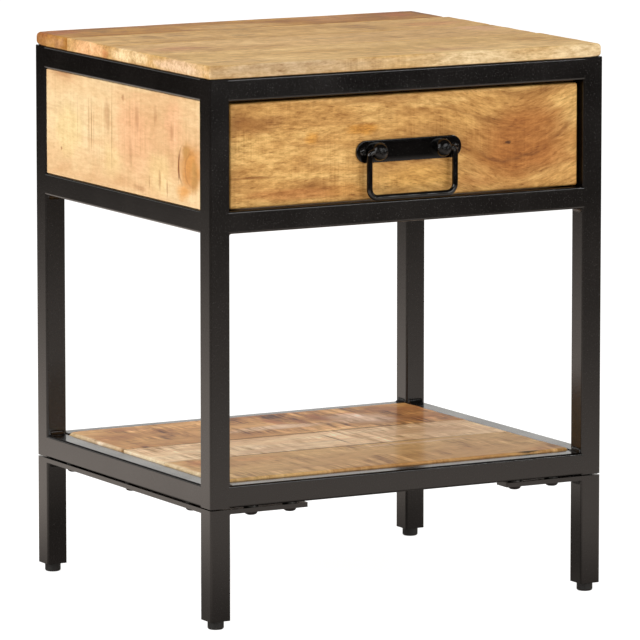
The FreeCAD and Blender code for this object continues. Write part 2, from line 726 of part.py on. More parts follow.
def make_bail():
    """Wire with its ends turned in through the posts, two arms and a bottom bar."""
    rightwards = FreeCAD.Rotation(Y_AXIS, 90)
    shoulder_x = "(bail_spread - bail_shoulder)"
    corner_x = "(bail_spread - bail_corner)"
    corner_z = "(bail_corner - bail_drop)"
    pieces = [
        rod("bail_end_left", f"-{shoulder_x}", 0, f"{shoulder_x} - bail_end", rightwards),
        rod("bail_end_right", "bail_end", 0, f"{shoulder_x} - bail_end", rightwards),
        bend("bail_shoulder_left", f"-{shoulder_x}", "-bail_shoulder", "bail_shoulder", 90),
        bend("bail_shoulder_right", shoulder_x, "-bail_shoulder", "bail_shoulder", 0),
        bend("bail_corner_left", f"-{corner_x}", corner_z, "bail_corner", 180),
        bend("bail_corner_right", corner_x, corner_z, "bail_corner", 270),
        rod("bail_bar", f"-{corner_x}", "-bail_drop", f"2*{corner_x}", rightwards),
    ]
    arm_length = "bail_drop - bail_corner - bail_shoulder"
    for side, right in SIDES:
        pieces.append(rod(f"bail_arm_{side}", signed(right, "bail_spread"), corner_z, arm_length))
    bail = doc.addObject("Part::MultiFuse", "handle_bail")
    bail.Shapes = pieces
    bail.Refine = True
    keep(bail, "handle_bail")


# ---- check and write --------------------------------------------------------------------

def check_and_write():
    doc.recompute()
    for item in doc.Objects:
        if {"Invalid", "Error"} & set(item.State):
            raise RuntimeError(f"{item.Label} failed: {item.State}")
    for node in nodes:
        if node.Shape.isNull() or not node.Shape.isValid() or not node.Shape.Solids:
            raise RuntimeError(f"{node.Label} has no valid solid")
    os.makedirs("parts", exist_ok=True)
    whole = FreeCAD.BoundBox()
    for node in nodes:
        node.Shape.exportStep(f"parts/{node.Label}.step")
        whole.add(node.Shape.BoundBox)
    print(f"{len(nodes)} pieces, box {whole}")


fill_sheet()
make_posts()
make_rails()
make_base_bars()
make_base_plates()
make_legs()
make_feet()
make_base_fasteners()
make_top()
make_shelf()
make_panels()
make_tabs_and_screws()
make_runners()
make_stops()
make_drawer()
make_handle_plate()
make_pivot_posts()
make_handle_screws()
make_bail()
check_and_write()
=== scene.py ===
import math

import bpy
import numpy as np
from bpy.props import FloatProperty, FloatVectorProperty, PointerProperty
from bpy.types import Operator, Panel, PropertyGroup
from mathutils import Matrix, Vector


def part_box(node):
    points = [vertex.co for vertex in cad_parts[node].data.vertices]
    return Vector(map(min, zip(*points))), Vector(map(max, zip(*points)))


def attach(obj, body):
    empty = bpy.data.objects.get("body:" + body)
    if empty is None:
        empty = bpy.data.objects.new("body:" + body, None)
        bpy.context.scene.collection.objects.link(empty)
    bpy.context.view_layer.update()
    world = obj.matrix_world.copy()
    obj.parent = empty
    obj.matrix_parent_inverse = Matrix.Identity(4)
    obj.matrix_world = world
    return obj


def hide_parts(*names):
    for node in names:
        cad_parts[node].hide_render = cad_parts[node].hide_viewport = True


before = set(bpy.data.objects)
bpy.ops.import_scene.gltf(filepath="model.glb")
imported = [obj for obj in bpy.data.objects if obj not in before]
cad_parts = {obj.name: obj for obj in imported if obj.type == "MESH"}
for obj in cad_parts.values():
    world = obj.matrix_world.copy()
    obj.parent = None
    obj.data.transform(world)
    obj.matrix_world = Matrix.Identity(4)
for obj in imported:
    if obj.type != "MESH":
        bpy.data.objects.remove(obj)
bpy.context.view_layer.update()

bl_info = {
    "name": "Side table looks",
    "version": (1, 0, 0),
    "blender": (4, 5, 0),
    "location": "3D View > Sidebar > Side table",
    "description": "Wood, painted steel and small parts for a side table with one drawer",
    "category": "Object",
}

MM = 0.001
SAME = 1e-7                 # metres: two points this close are one
SIDES = (("left", -1), ("right", 1))
ENDS = (("front", -1), ("rear", 1))

EASING_POINTS = 8           # points over each face's half of a rounded edge
BOARD_PITCH = 8 * MM        # spacing of the points over a board's faces
SEAM_FADE = 2 * MM          # a seam's small rounding grows to the full one over this
WORN_FADE = 8 * MM          # a worn corner or end fades out over this length
WELD_RIPPLE = 2.2 * MM      # one wave of a weld's swelling
WELD_SWELL = 0.06           # the swelling, as a share of the weld's size
ARC_POINTS = 25             # points round one end of the handle's plate
WOOD_ROUGHNESS = 0.4        # lowest roughness of the wood under its lacquer
TABLE_MIDDLE = (0, -0.0165, 0.25)   # metres
AIM_LEFT = 6.54 * MM        # the camera looks this far to the left of the table's middle
AIM_DOWN = 6.27 * MM        # and this far below it
LIGHT_AIM = (0, 0, 0.3)     # metres: every light is turned to this place
ROOM_GAIN = 1.4             # brightness of the band below, as gloss shows it
ROOM_BAND = ((0.0, 0.01), (0.16, 0.95), (0.3, 0.12), (0.6, 0.04))    # height and grey

# name, place in metres, side in metres, setting that holds its power, whether gloss shows it
LIGHTS = (
    ("key_light", (-2.6, -0.6, 1.5), 1.8, "key", True),
    ("fill_light", (0.8, -3.0, 1.3), 1.6, "fill", True),
    ("overhead_light", (0, 0.3, 2.6), 2.0, "overhead", False),
    ("left_spark", (-1.0, -3.0, 2.2), 0.14, "spark", True),
    ("right_spark", (1.6, -2.4, 1.0), 0.12, "spark", True),
)


# ---- colours and numbers ------------------------------------------------------------------

def shade(red, green, blue):
    """A colour given as 0 to 255 display values, as the linear values that shaders use."""
    values = np.array([red, green, blue]) / 255
    linear = np.where(values <= 0.04045, values / 12.92, ((values + 0.055) / 1.055) ** 2.4)
    return tuple(float(value) for value in linear)


def length_property(name, description, millimetres):
    """A length that is shown in the scene's units."""
    return FloatProperty(name=name, description=description, default=millimetres * MM,
                         min=0, unit="LENGTH", subtype="DISTANCE", precision=5)


def part_property(name, description, value):
    """A share between 0 and 1."""
    return FloatProperty(name=name, description=description, default=value,
                         min=0, max=1, subtype="FACTOR")


def power_property(name, description, watts):
    """The power of a light."""
    return FloatProperty(name=name, description=description, default=watts, min=0,
                         unit="POWER")


def colour_property(name, description, red, green, blue):
    """A colour, from 0 to 255 display values."""
    return FloatVectorProperty(name=name, description=description, size=3, min=0, max=1,
                               default=shade(red, green, blue), subtype="COLOR")


# ---- surfaces -----------------------------------------------------------------------------

def quads_of(rows, columns, wrap=False):
    """Four-cornered faces of a grid of points; wrap joins its last column to its first."""
    first = np.arange(rows - 1)[:, None] * columns
    across = np.arange(columns if wrap else columns - 1)[None, :]
    following = (across + 1) % columns
    corners = (first + across, first + across + columns,
               first + following + columns, first + following)
    return np.stack([corner.reshape(-1) for corner in corners], axis=1)


def joined(points, faces):
    """Merge points at the same place and drop the faces that then have no area."""
    keys = np.round(points / SAME).astype(np.int64)
    _, first, where = np.unique(keys, axis=0, return_index=True, return_inverse=True)
    faces = where.reshape(-1)[faces]
    following = np.roll(faces, -1, axis=1)
    corners = (faces != following).sum(axis=1)
    return points[first], faces[corners >= 3], corners[corners >= 3]


def build(name, points, faces, body, replaced=(), flat_sides=False):
    """Make a mesh object of the points and faces, on a body, standing for CAD nodes."""
    points, faces, corners = joined(points, faces)
    loops = faces[faces != np.roll(faces, 1, axis=1)]
    mesh = bpy.data.meshes.new(name)
    mesh.vertices.add(len(points))
    mesh.vertices.foreach_set("co", points.astype(np.float32).reshape(-1))
    mesh.loops.add(len(loops))
    mesh.loops.foreach_set("vertex_index", loops.astype(np.int32))
    mesh.polygons.add(len(corners))
    starts = np.concatenate([[0], np.cumsum(corners)[:-1]])
    mesh.polygons.foreach_set("loop_start", starts.astype(np.int32))
    mesh.update(calc_edges=True)
    mesh.shade_smooth()
    piece = bpy.data.objects.new(name, mesh)
    bpy.context.scene.collection.objects.link(piece)
    if flat_sides:
        weighting = piece.modifiers.new("even_sides", "WEIGHTED_NORMAL")
        weighting.weight = 80
    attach(piece, body)
    if replaced:
        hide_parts(*replaced)
    return piece


def gathered(parts):
    """One list of points and faces from several."""
    points, faces, count = [], [], 0
    for some_points, some_faces in parts:
        points.append(some_points)
        faces.append(some_faces + count)
        count += len(some_points)
    return np.concatenate(points), np.concatenate(faces)


def stations(low, high, easing, pitch):
    """Places along one side of a block.

    Over an eased edge of radius r they lie at r (1 - tan a) from the corner, for equal steps
    of the angle a from 45 degrees to 0, so the rounding has even facets; between the edges
    they are evenly spaced.
    """
    near = easing * (1 - np.tan(np.linspace(math.pi / 4, 0, EASING_POINTS)))
    count = max(2, int(round((high - low - 2 * easing) / pitch)) + 1)
    middle = np.linspace(low + easing, high - easing, count)[1:-1]
    return np.concatenate([low + near, middle, (high - near)[::-1]])


def block(low, high, easing, pitch, radius=None, shape=None):
    """A block with rounded edges.

    Each point q of the sharp block goes to c + r (q - c) / |q - c|, where c is the point
    nearest to q in the block shrunk by r. radius(q) may give r from place to place, and
    shape(points) may move the finished points.
    """
    low, high = np.array(low, float), np.array(high, float)
    lines = [stations(low[axis], high[axis], easing, pitch) for axis in range(3)]
    sheets, faces, count = [], [], 0
    for axis in range(3):
        one, other = (axis + 1) % 3, (axis + 2) % 3
        across, up = np.meshgrid(lines[one], lines[other], indexing="ij")
        for level, outward in ((low[axis], False), (high[axis], True)):
            sheet = np.empty(across.shape + (3,))
            sheet[..., axis] = level
            sheet[..., one] = across
            sheet[..., other] = up
            sheets.append(sheet.reshape(-1, 3))
            quads = quads_of(*across.shape) + count
            faces.append(quads if outward else quads[:, ::-1])
            count += across.size
    sharp = np.concatenate(sheets)
    reach = np.full(len(sharp), easing) if radius is None else radius(sharp)
    reach = reach[:, None]
    centre = np.clip(sharp, low + reach, high - reach)
    away = sharp - centre
    distance = np.linalg.norm(away, axis=1, keepdims=True)
    points = centre + reach * away / np.maximum(distance, SAME)
    if shape is not None:
        points = shape(points)
    return points, np.concatenate(faces)


def sweep(rings, closed_ends=True):
    """Faces over rings of points, an array of (ring, point, 3); ends close on their middles."""
    if closed_ends:
        ends = [ring.mean(axis=0, keepdims=True).repeat(rings.shape[1], axis=0)
                for ring in (rings[0], rings[-1])]
        rings = np.concatenate([ends[0][None], rings, ends[1][None]])
    faces = quads_of(rings.shape[0], rings.shape[1], wrap=True)
    return rings.reshape(-1, 3), faces


def solids_of(node):
    """Lowest and highest corners of each separate solid in a CAD node."""
    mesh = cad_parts[node].data
    mesh.calc_loop_triangles()
    points = np.empty(len(mesh.vertices) * 3)
    mesh.vertices.foreach_get("co", points)
    corners = np.empty(len(mesh.loop_triangles) * 3, np.int32)
    mesh.loop_triangles.foreach_get("vertices", corners)
    points = points.reshape(-1, 3)
    _, where = np.unique(np.round(points / (0.01 * MM)), axis=0, return_inverse=True)
    triangles = where.reshape(-1)[corners].reshape(-1, 3)
    labels = np.arange(where.max() + 1)
    while True:
        lowest = labels[triangles].min(axis=1)
        new = labels.copy()
        for corner in range(3):
            np.minimum.at(new, triangles[:, corner], lowest)
        if np.array_equal(new, labels):
            break
        labels = new
    label_of_point = labels[where.reshape(-1)]
    boxes = []
    for label in np.unique(label_of_point):
        own = points[label_of_point == label]
        boxes.append((own.min(axis=0), own.max(axis=0)))
    return boxes


# ---- shader nodes -------------------------------------------------------------------------

class Finish:
    """One material, with short calls that add its shader nodes."""

    def __init__(self, name):
        self.material = bpy.data.materials.new(name)
        self.material.use_nodes = True
        self.tree = self.material.node_tree
        self.shader = self.tree.nodes["Principled BSDF"]
        self.place = self.tree.nodes.new("ShaderNodeTexCoord").outputs["Object"]

    def feed(self, socket, value):
        """Link a socket to another, or give it a number or a colour."""
        if isinstance(value, bpy.types.NodeSocket):
            self.tree.links.new(value, socket)
        elif socket.type == "RGBA":
            socket.default_value = (*value, 1) if len(value) == 3 else value
        else:
            socket.default_value = value

    def set(self, **values):
        """Set the shader's own sockets; base_color stands for Base Color."""
        for name, value in values.items():
            socket = next(s for s in self.shader.inputs
                          if s.name.lower().replace(" ", "_") == name)
            self.feed(socket, value)

    def math(self, operation, first, second=0.0, third=0.0):
        """One step of arithmetic on up to three values."""
        node = self.tree.nodes.new("ShaderNodeMath")
        node.operation = operation
        for socket, value in zip(node.inputs, (first, second, third)):
            self.feed(socket, value)
        return node.outputs[0]

    def moved(self, place, scale=(1, 1, 1), shift=(0, 0, 0), turn=(0, 0, 0)):
        """The place times scale, turned, then shifted."""
        node = self.tree.nodes.new("ShaderNodeMapping")
        self.feed(node.inputs["Vector"], place)
        node.inputs["Location"].default_value = shift
        node.inputs["Rotation"].default_value = turn
        node.inputs["Scale"].default_value = scale
        return node.outputs[0]

    def noise(self, place, scale, detail, roughness=0.5, distortion=0.0, shift=(0, 0, 0)):
        """Soft noise from 0 to 1; scale is in waves per metre."""
        node = self.tree.nodes.new("ShaderNodeTexNoise")
        self.feed(node.inputs["Vector"], self.moved(place, scale, shift))
        node.inputs["Scale"].default_value = 1
        node.inputs["Detail"].default_value = detail
        node.inputs["Roughness"].default_value = roughness
        node.inputs["Distortion"].default_value = distortion
        return node.outputs["Fac"]

    def part(self, place, axis):
        """One coordinate of a place."""
        node = self.tree.nodes.new("ShaderNodeSeparateXYZ")
        self.feed(node.inputs[0], place)
        return node.outputs[axis]

    def step(self, value, low, high, start=0.0, end=1.0):
        """A smooth step from start to end as value goes from low to high."""
        node = self.tree.nodes.new("ShaderNodeMapRange")
        node.interpolation_type = "SMOOTHSTEP"
        for name, number in (("Value", value), ("From Min", low), ("From Max", high),
                             ("To Min", start), ("To Max", end)):
            self.feed(node.inputs[name], number)
        return node.outputs["Result"]

    def mix(self, amount, first, second, blend="MIX"):
        """The second colour over the first, by an amount."""
        node = self.tree.nodes.new("ShaderNodeMix")
        node.data_type = "RGBA"
        node.blend_type = blend
        for index, value in ((0, amount), (6, first), (7, second)):
            self.feed(node.inputs[index], value)
        return node.outputs[2]

    def ramp(self, value, stops):
        """A colour for each value; stops are (value, colour)."""
        node = self.tree.nodes.new("ShaderNodeValToRGB")
        self.feed(node.inputs[0], value)
        band = node.color_ramp.elements
        while len(band) < len(stops):
            band.new(0.5)
        for element, (at, colour) in zip(band, stops):
            element.position = at
            element.color = (*colour, 1)
        return node.outputs[0]

    def length(self, place):
        """Distance of a place from the origin."""
        node = self.tree.nodes.new("ShaderNodeVectorMath")
        node.operation = "LENGTH"
        self.feed(node.inputs[0], place)
        return node.outputs["Value"]

    def oval(self, centre, size, waves, detail, stray):
        """Distance from a centre, in half sizes of an oval and made ragged by the stray."""
        scale = [1 / (half * MM) for half in size]
        shift = [-middle / half for middle, half in zip(centre, size)]
        reach = self.length(self.moved(self.place, scale, shift))
        wander = self.noise(self.place, [waves * value for value in scale], detail)
        return self.math("MULTIPLY_ADD", self.math("SUBTRACT", wander, 0.5), stray, reach)

    def patch(self, centre, size):
        """1 inside an oval about a place, in millimetres, fading to 0 past its ragged rim."""
        reach = self.oval(centre, size, waves=1.3, detail=3, stray=1.2)
        return self.step(reach, 0.3, 1.14, 1, 0)

    def ring(self, centre, size, width):
        """1 on the rim of an oval about a place, in millimetres, 0 away from it."""
        reach = self.oval(centre, size, waves=1.5, detail=2, stray=0.3)
        off = self.math("ABSOLUTE", self.math("SUBTRACT", reach, 1))
        return self.step(off, 0, width, 1, 0)

    def bump(self, height, distance, strength):
        """The surface's direction over small heights, a distance in metres for each 1."""
        node = self.tree.nodes.new("ShaderNodeBump")
        node.inputs["Strength"].default_value = strength
        node.inputs["Distance"].default_value = distance
        self.feed(node.inputs["Height"], height)
        return node.outputs[0]


def turned_to_grain(finish, place, grain, seed):
    """Coordinates whose X runs along the grain, moved so that no two boards match."""
    turns = {"X": (0, 0, 0), "Y": (0, 0, math.pi / 2), "Z": (0, math.pi / 2, 0)}
    return finish.moved(place, shift=(0.37 * seed, 0.61 * seed, 0.23 * seed),
                        turn=turns[grain])


def dipped(finish, centre, width, depth):
    """Object coordinates whose level lines dip as a bell does, exp(-((x - c) / w)^2).

    The centre c, the width w and the depth of the dip are in millimetres.
    """
    node = finish.tree.nodes.new("ShaderNodeCombineXYZ")
    x, y, z = (finish.part(finish.place, axis) for axis in range(3))
    away = finish.math("MULTIPLY_ADD", x, 1000 / width, -centre / width)
    bell = finish.math("EXPONENT", finish.math("MULTIPLY", finish.math("POWER", away, 2), -1))
    for socket, value in zip(node.inputs, (x, y, finish.math("MULTIPLY_ADD", bell,
                                                             depth * MM, z))):
        finish.feed(socket, value)
    return node.outputs[0]


def wood(name, grain, seed, pale, middle, dark, streak, figure=0.5, fibre=0.2, mottle=0.15,
         pores=0.3, saw=0.0, saw_pitch=9.0, gloss=0.25, gloss_roughness=0.28, dip=None,
         patches=(), rings=()):
    """Sawn, sanded and lacquered wood.

    A broad tone runs from dark through middle to pale. Long figure lines, fibre a few
    millimetres wide, mottle and short dark pores follow the grain, and saw marks cross it;
    all of them but the tone and the figure darken the colour and make it warmer. patches
    are (centre, size, colour, strength), and rings are (centre, size, width, colour, strength)
    with the centre and size of the part of them that shows. Colours are 0 to 255 display
    values.
    """
    finish = Finish(name)
    place = finish.place if dip is None else dipped(finish, *dip)
    place = turned_to_grain(finish, place, grain, seed)
    broad = finish.noise(place, (6, 22, 22), detail=4, roughness=0.6, distortion=0.5)
    colour = finish.ramp(broad, [(0.32, shade(*dark)), (0.50, shade(*middle)),
                                  (0.68, shade(*pale))])

    lines = finish.noise(place, (8, 110, 110), detail=4, roughness=0.6, distortion=0.3)
    lines = finish.step(lines, 0.46, 0.70)
    colour = finish.mix(finish.math("MULTIPLY", lines, figure), colour, shade(*streak))

    for centre, size, tint, strength in patches:
        amount = finish.math("MULTIPLY", finish.patch(centre, size), strength)
        colour = finish.mix(amount, colour, shade(*tint))
    for centre, size, width, tint, strength, shown_centre, shown_size in rings:
        amount = finish.math("MULTIPLY", finish.ring(centre, size, width),
                             finish.patch(shown_centre, shown_size))
        colour = finish.mix(finish.math("MULTIPLY", amount, strength), colour, shade(*tint))

    fine = finish.noise(place, (90, 380, 380), detail=4, roughness=0.8)
    light = finish.math("MULTIPLY_ADD", finish.math("SUBTRACT", fine, 0.5), 3 * fibre, 1.0)
    blotches = finish.noise(place, (60, 130, 130), detail=4, roughness=0.7, shift=(5, 1, 7))
    light = finish.math("MULTIPLY_ADD", finish.math("SUBTRACT", blotches, 0.5), 3 * mottle,
                        light)
    short = finish.noise(place, (110, 900, 900), detail=1, shift=(9, 4, 2))
    short = finish.step(short, 0.62, 0.76)
    light = finish.math("MULTIPLY_ADD", short, -pores, light)

    height = finish.math("MULTIPLY_ADD", short, -0.8, fine)
    if saw:
        waves = finish.noise(place, (1000 / saw_pitch, 9, 9), detail=4, roughness=0.75,
                             distortion=0.3)
        shown = finish.step(finish.noise(place, (14, 26, 26), detail=3, shift=(3, 8, 1)),
                            0.4, 0.62, 0.1, 1.2)
        marks = finish.math("MULTIPLY", finish.math("SUBTRACT", waves, 0.5), shown)
        light = finish.math("MULTIPLY_ADD", marks, -4 * saw, light)
        height = finish.math("MULTIPLY_ADD", marks, -2.0, height)

    warmth = finish.tree.nodes.new("ShaderNodeCombineColor")
    light = finish.math("MAXIMUM", light, 0.1)
    for socket, power in zip(warmth.inputs, (0.75, 1.0, 1.4)):
        finish.feed(socket, finish.math("POWER", light, power))
    colour = finish.mix(1.0, colour, warmth.outputs[0], blend="MULTIPLY")
    rough = finish.math("MULTIPLY_ADD", fine, 0.2, WOOD_ROUGHNESS)
    finish.set(base_color=colour, roughness=rough, specular_ior_level=0.2,
               coat_weight=gloss, coat_roughness=gloss_roughness,
               normal=finish.bump(height, 0.15 * MM, 0.7))
    return finish.material


def paint(name, colour, roughness, peel=0.05, shine=0.5):
    """Baked black paint: a faint orange peel, uneven gloss and a little settled dust."""
    finish = Finish(name)
    peel_noise = finish.noise(finish.place, (420, 420, 420), detail=2)
    cloud = finish.noise(finish.place, (22, 22, 22), detail=3)
    dust = finish.step(finish.noise(finish.place, (1300, 1300, 1300), detail=0), 0.74, 0.80)
    lighter = tuple(min(1, 1.5 * value) for value in colour)
    base = finish.mix(finish.step(cloud, 0.35, 0.75), colour, lighter)
    base = finish.mix(finish.math("MULTIPLY", dust, 0.1), base, shade(70, 66, 60))
    rough = finish.math("MULTIPLY_ADD", cloud, 0.12, roughness - 0.06)
    rough = finish.math("MULTIPLY_ADD", dust, 0.2, rough)
    finish.set(base_color=base, roughness=rough, specular_ior_level=shine,
               normal=finish.bump(peel_noise, peel * MM, 0.5))
    return finish.material


def bare_metal(name, colour, roughness, metallic):
    """Plated or blackened steel with fine turning lines and a few stains."""
    finish = Finish(name)
    turning = finish.noise(finish.place, (2600, 2600, 500), detail=1)
    stain = finish.noise(finish.place, (260, 260, 260), detail=3)
    darker = tuple(0.45 * value for value in colour)
    base = finish.mix(finish.step(stain, 0.45, 0.75), colour, darker)
    rough = finish.math("MULTIPLY_ADD", stain, 0.25, roughness - 0.12)
    finish.set(base_color=base, metallic=metallic, roughness=rough,
               normal=finish.bump(turning, 0.01 * MM, 0.5))
    return finish.material


def moulded(name, colour):
    """Moulded plastic with a fine spark-eroded grain and scuffed lower parts."""
    finish = Finish(name)
    grain = finish.noise(finish.place, (2200, 2200, 2200), detail=1)
    low = finish.part(finish.place, 2)
    scuffs = finish.step(finish.noise(finish.place, (500, 500, 120), detail=2), 0.55, 0.7)
    scuffs = finish.math("MULTIPLY", scuffs, finish.step(low, 3 * MM, 0, 0, 0.6))
    base = finish.mix(scuffs, colour, shade(92, 88, 84))
    finish.set(base_color=base, roughness=finish.math("MULTIPLY_ADD", grain, 0.15, 0.5),
               normal=finish.bump(grain, 0.03 * MM, 0.6))
    return finish.material


def paint_node(node, material):
    """Give a CAD node one material."""
    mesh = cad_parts[node].data
    mesh.materials.clear()
    mesh.materials.append(material)


def nodes_named(*starts):
    """CAD nodes whose names begin with any of the given words."""
    return sorted(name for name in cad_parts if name.startswith(starts))


def corners_of(node):
    """Lowest and highest corners of a CAD node's box."""
    low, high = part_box(node)
    return np.array(low), np.array(high)


# ---- steel frame --------------------------------------------------------------------------

class SteelSettings(PropertyGroup):
    """Paint and welds of the frame"""

    colour: colour_property("Paint", "Baked paint of the frame", 9, 6, 5)
    roughness: part_property("Paint roughness", "Roughness of the frame's paint", 0.2)
    bead: length_property("Weld size", "Leg of the small welds inside the corners", 4.4)


class SIDETABLE_OT_frame(Operator):
    """Paint the tubes, the base, the runners and the tabs"""

    bl_idname = "sidetable.frame"
    bl_label = "Painted frame"

    def execute(self, context):
        settings = context.scene.side_table_steel
        coat = paint("frame_paint", tuple(settings.colour), settings.roughness)
        for node in nodes_named("post_", "top_rail_", "middle_rail_", "shelf_rail_",
                                "base_bar_", "base_plate_", "leg_", "runner_", "top_tabs",
                                "shelf_tabs", "panel_tabs", "stop_tabs"):
            paint_node(node, coat)
        return {"FINISHED"}


def bead(corner, across, up, along, size):
    """A small hollow weld in a square corner.

    Its section at each station is the corner, then the quarter circle of radius s that
    touches both walls s away from it. s swells and shrinks by 6 per cent every 2.2 mm, and
    falls to nothing at both ends as the eighth-power oval (1 - t^8)^(1/2) does.
    """
    run = np.linalg.norm(along)
    count = max(8, int(run / (0.55 * MM)))
    t = np.linspace(-1, 1, count)
    taper = np.sqrt(np.clip(1 - t ** 8, 0, 1))
    scale = size * taper * (1 + WELD_SWELL * np.sin(math.pi * run * t / WELD_RIPPLE))
    turn = np.linspace(0, math.pi / 2, 6)
    outline = np.concatenate([[[0, 0]], np.stack([1 - np.sin(turn), 1 - np.cos(turn)], axis=1)])
    middle = corner + t[:, None] * along / 2
    rings = (middle[:, None] + scale[:, None, None]
             * (outline[None, :, 0, None] * across + outline[None, :, 1, None] * up))
    if np.dot(np.cross(across, up), along) < 0:
        rings = rings[:, ::-1]
    return sweep(rings)


class SIDETABLE_OT_welds(Operator):
    """Make the welds inside the corners of the frame and under the base"""

    bl_idname = "sidetable.welds"
    bl_label = "Weld beads"

    def execute(self, context):
        settings = context.scene.side_table_steel
        right, back, up = np.eye(3)
        beads = []
        for end, rearward in ENDS:
            for side, rightward in SIDES:
                post_low, post_high = corners_of(f"post_{end}_{side}")
                inner_x = post_low[0] if rightward > 0 else post_high[0]
                inner_y = post_low[1] if rearward > 0 else post_high[1]
                middle = (post_low + post_high) / 2
                span = (post_high[0] - post_low[0]) * 0.8
                levels = [
                    (corners_of(f"middle_rail_{end}")[0][2], -1),
                    (corners_of(f"shelf_rail_{end}")[1][2], 1),
                    (corners_of(f"base_plate_{end}_{side}")[0][2], -1),
                ]
                for level, upward in levels:
                    at = np.array([inner_x, middle[1], level])
                    beads.append(bead(at, -rightward * right, upward * up, span * back,
                                      settings.bead))
                    at = np.array([middle[0], inner_y, level])
                    beads.append(bead(at, -rearward * back, upward * up, span * right,
                                      settings.bead))
        points, faces = gathered(beads)
        piece = build("weld_beads", points, faces, "frame")
        piece.data.materials.append(bpy.data.materials["frame_paint"])
        return {"FINISHED"}


# ---- boards -------------------------------------------------------------------------------

def unevenness(x, y, seed):
    """A slow wander between 0 and 1: the mean of three sines that run different ways."""
    waves = (np.sin(31 * x + 17 * y + 1.7 * seed)
             + np.sin(-19 * x + 43 * y + 2.9 * seed)
             + np.sin(67 * x - 29 * y + 0.6 * seed))
    return 0.5 + waves / 6


class BoardSettings(PropertyGroup):
    """Shape and lacquer of the boards of a top or shelf"""

    corner: length_property("Worn corner", "Extra rounding of the rear left corner", 2.6)
    easing: length_property("Edge rounding", "Rounding of the outer edges", 1.6)
    seam: length_property("Seam rounding", "Rounding of the edges along the seams", 0.35)
    hollow: length_property("Sanding hollows", "Depth of the sanding's hollows in a face", 0.25)
    end_wander: length_property("End wander", "How far a sawn end strays from straight", 1.4)
    lacquer: part_property("Lacquer", "Weight of the lacquer's gloss", 0.15)


def laid_board(node, number, count, settings, material, body, short=0.0):
    """One board of a top or shelf, numbered from the rear, which stands for its CAD node.

    Its upper face is lowered by up to the hollows' depth, and each end is cut back by up to
    the end's wander, both by the slow wander of three sines. Its right end is also cut back
    by the shortness, in millimetres.
    """
    low, high = corners_of(node)
    free_front, free_rear = number == count, number == 1

    def radius(points):
        """The easing, less within 2 mm of a seam and more at the worn rear left corner."""
        room = np.full(len(points), 1.0)
        if not free_front:
            room = np.minimum(room, (points[:, 1] - low[1]) / SEAM_FADE)
        if not free_rear:
            room = np.minimum(room, (high[1] - points[:, 1]) / SEAM_FADE)
        eased = settings.seam + (settings.easing - settings.seam) * np.clip(room, 0, 1)
        if free_rear:
            away = np.hypot(points[:, 0] - low[0], points[:, 1] - high[1])
            eased += settings.corner * np.clip(1.5 - away / WORN_FADE, 0, 1)
        right_end = np.clip(1.5 - (high[0] - points[:, 0]) / WORN_FADE, 0, 1)
        eased += settings.corner * right_end * unevenness(3 * points[:, 1], 0, 7 * number)
        return eased

    def shape(points):
        points = points.copy()
        x, y, z = points.T
        rise = (z - low[2]) / (high[2] - low[2])
        points[:, 2] -= settings.hollow * rise ** 2 * unevenness(x, y, number)
        share = (x - low[0]) / (high[0] - low[0])
        stray = settings.end_wander * unevenness(3 * y, 0.2 * z, 5 + 3 * number)
        points[:, 0] -= share ** 8 * (stray + short * MM)
        points[:, 0] += (1 - share) ** 8 * 0.25 * stray
        return points

    points, faces = block(low, high, settings.easing + settings.corner, BOARD_PITCH, radius, shape)
    piece = build(node + "_wood", points, faces, body, (node,), flat_sides=True)
    piece.data.materials.append(material)
    return piece


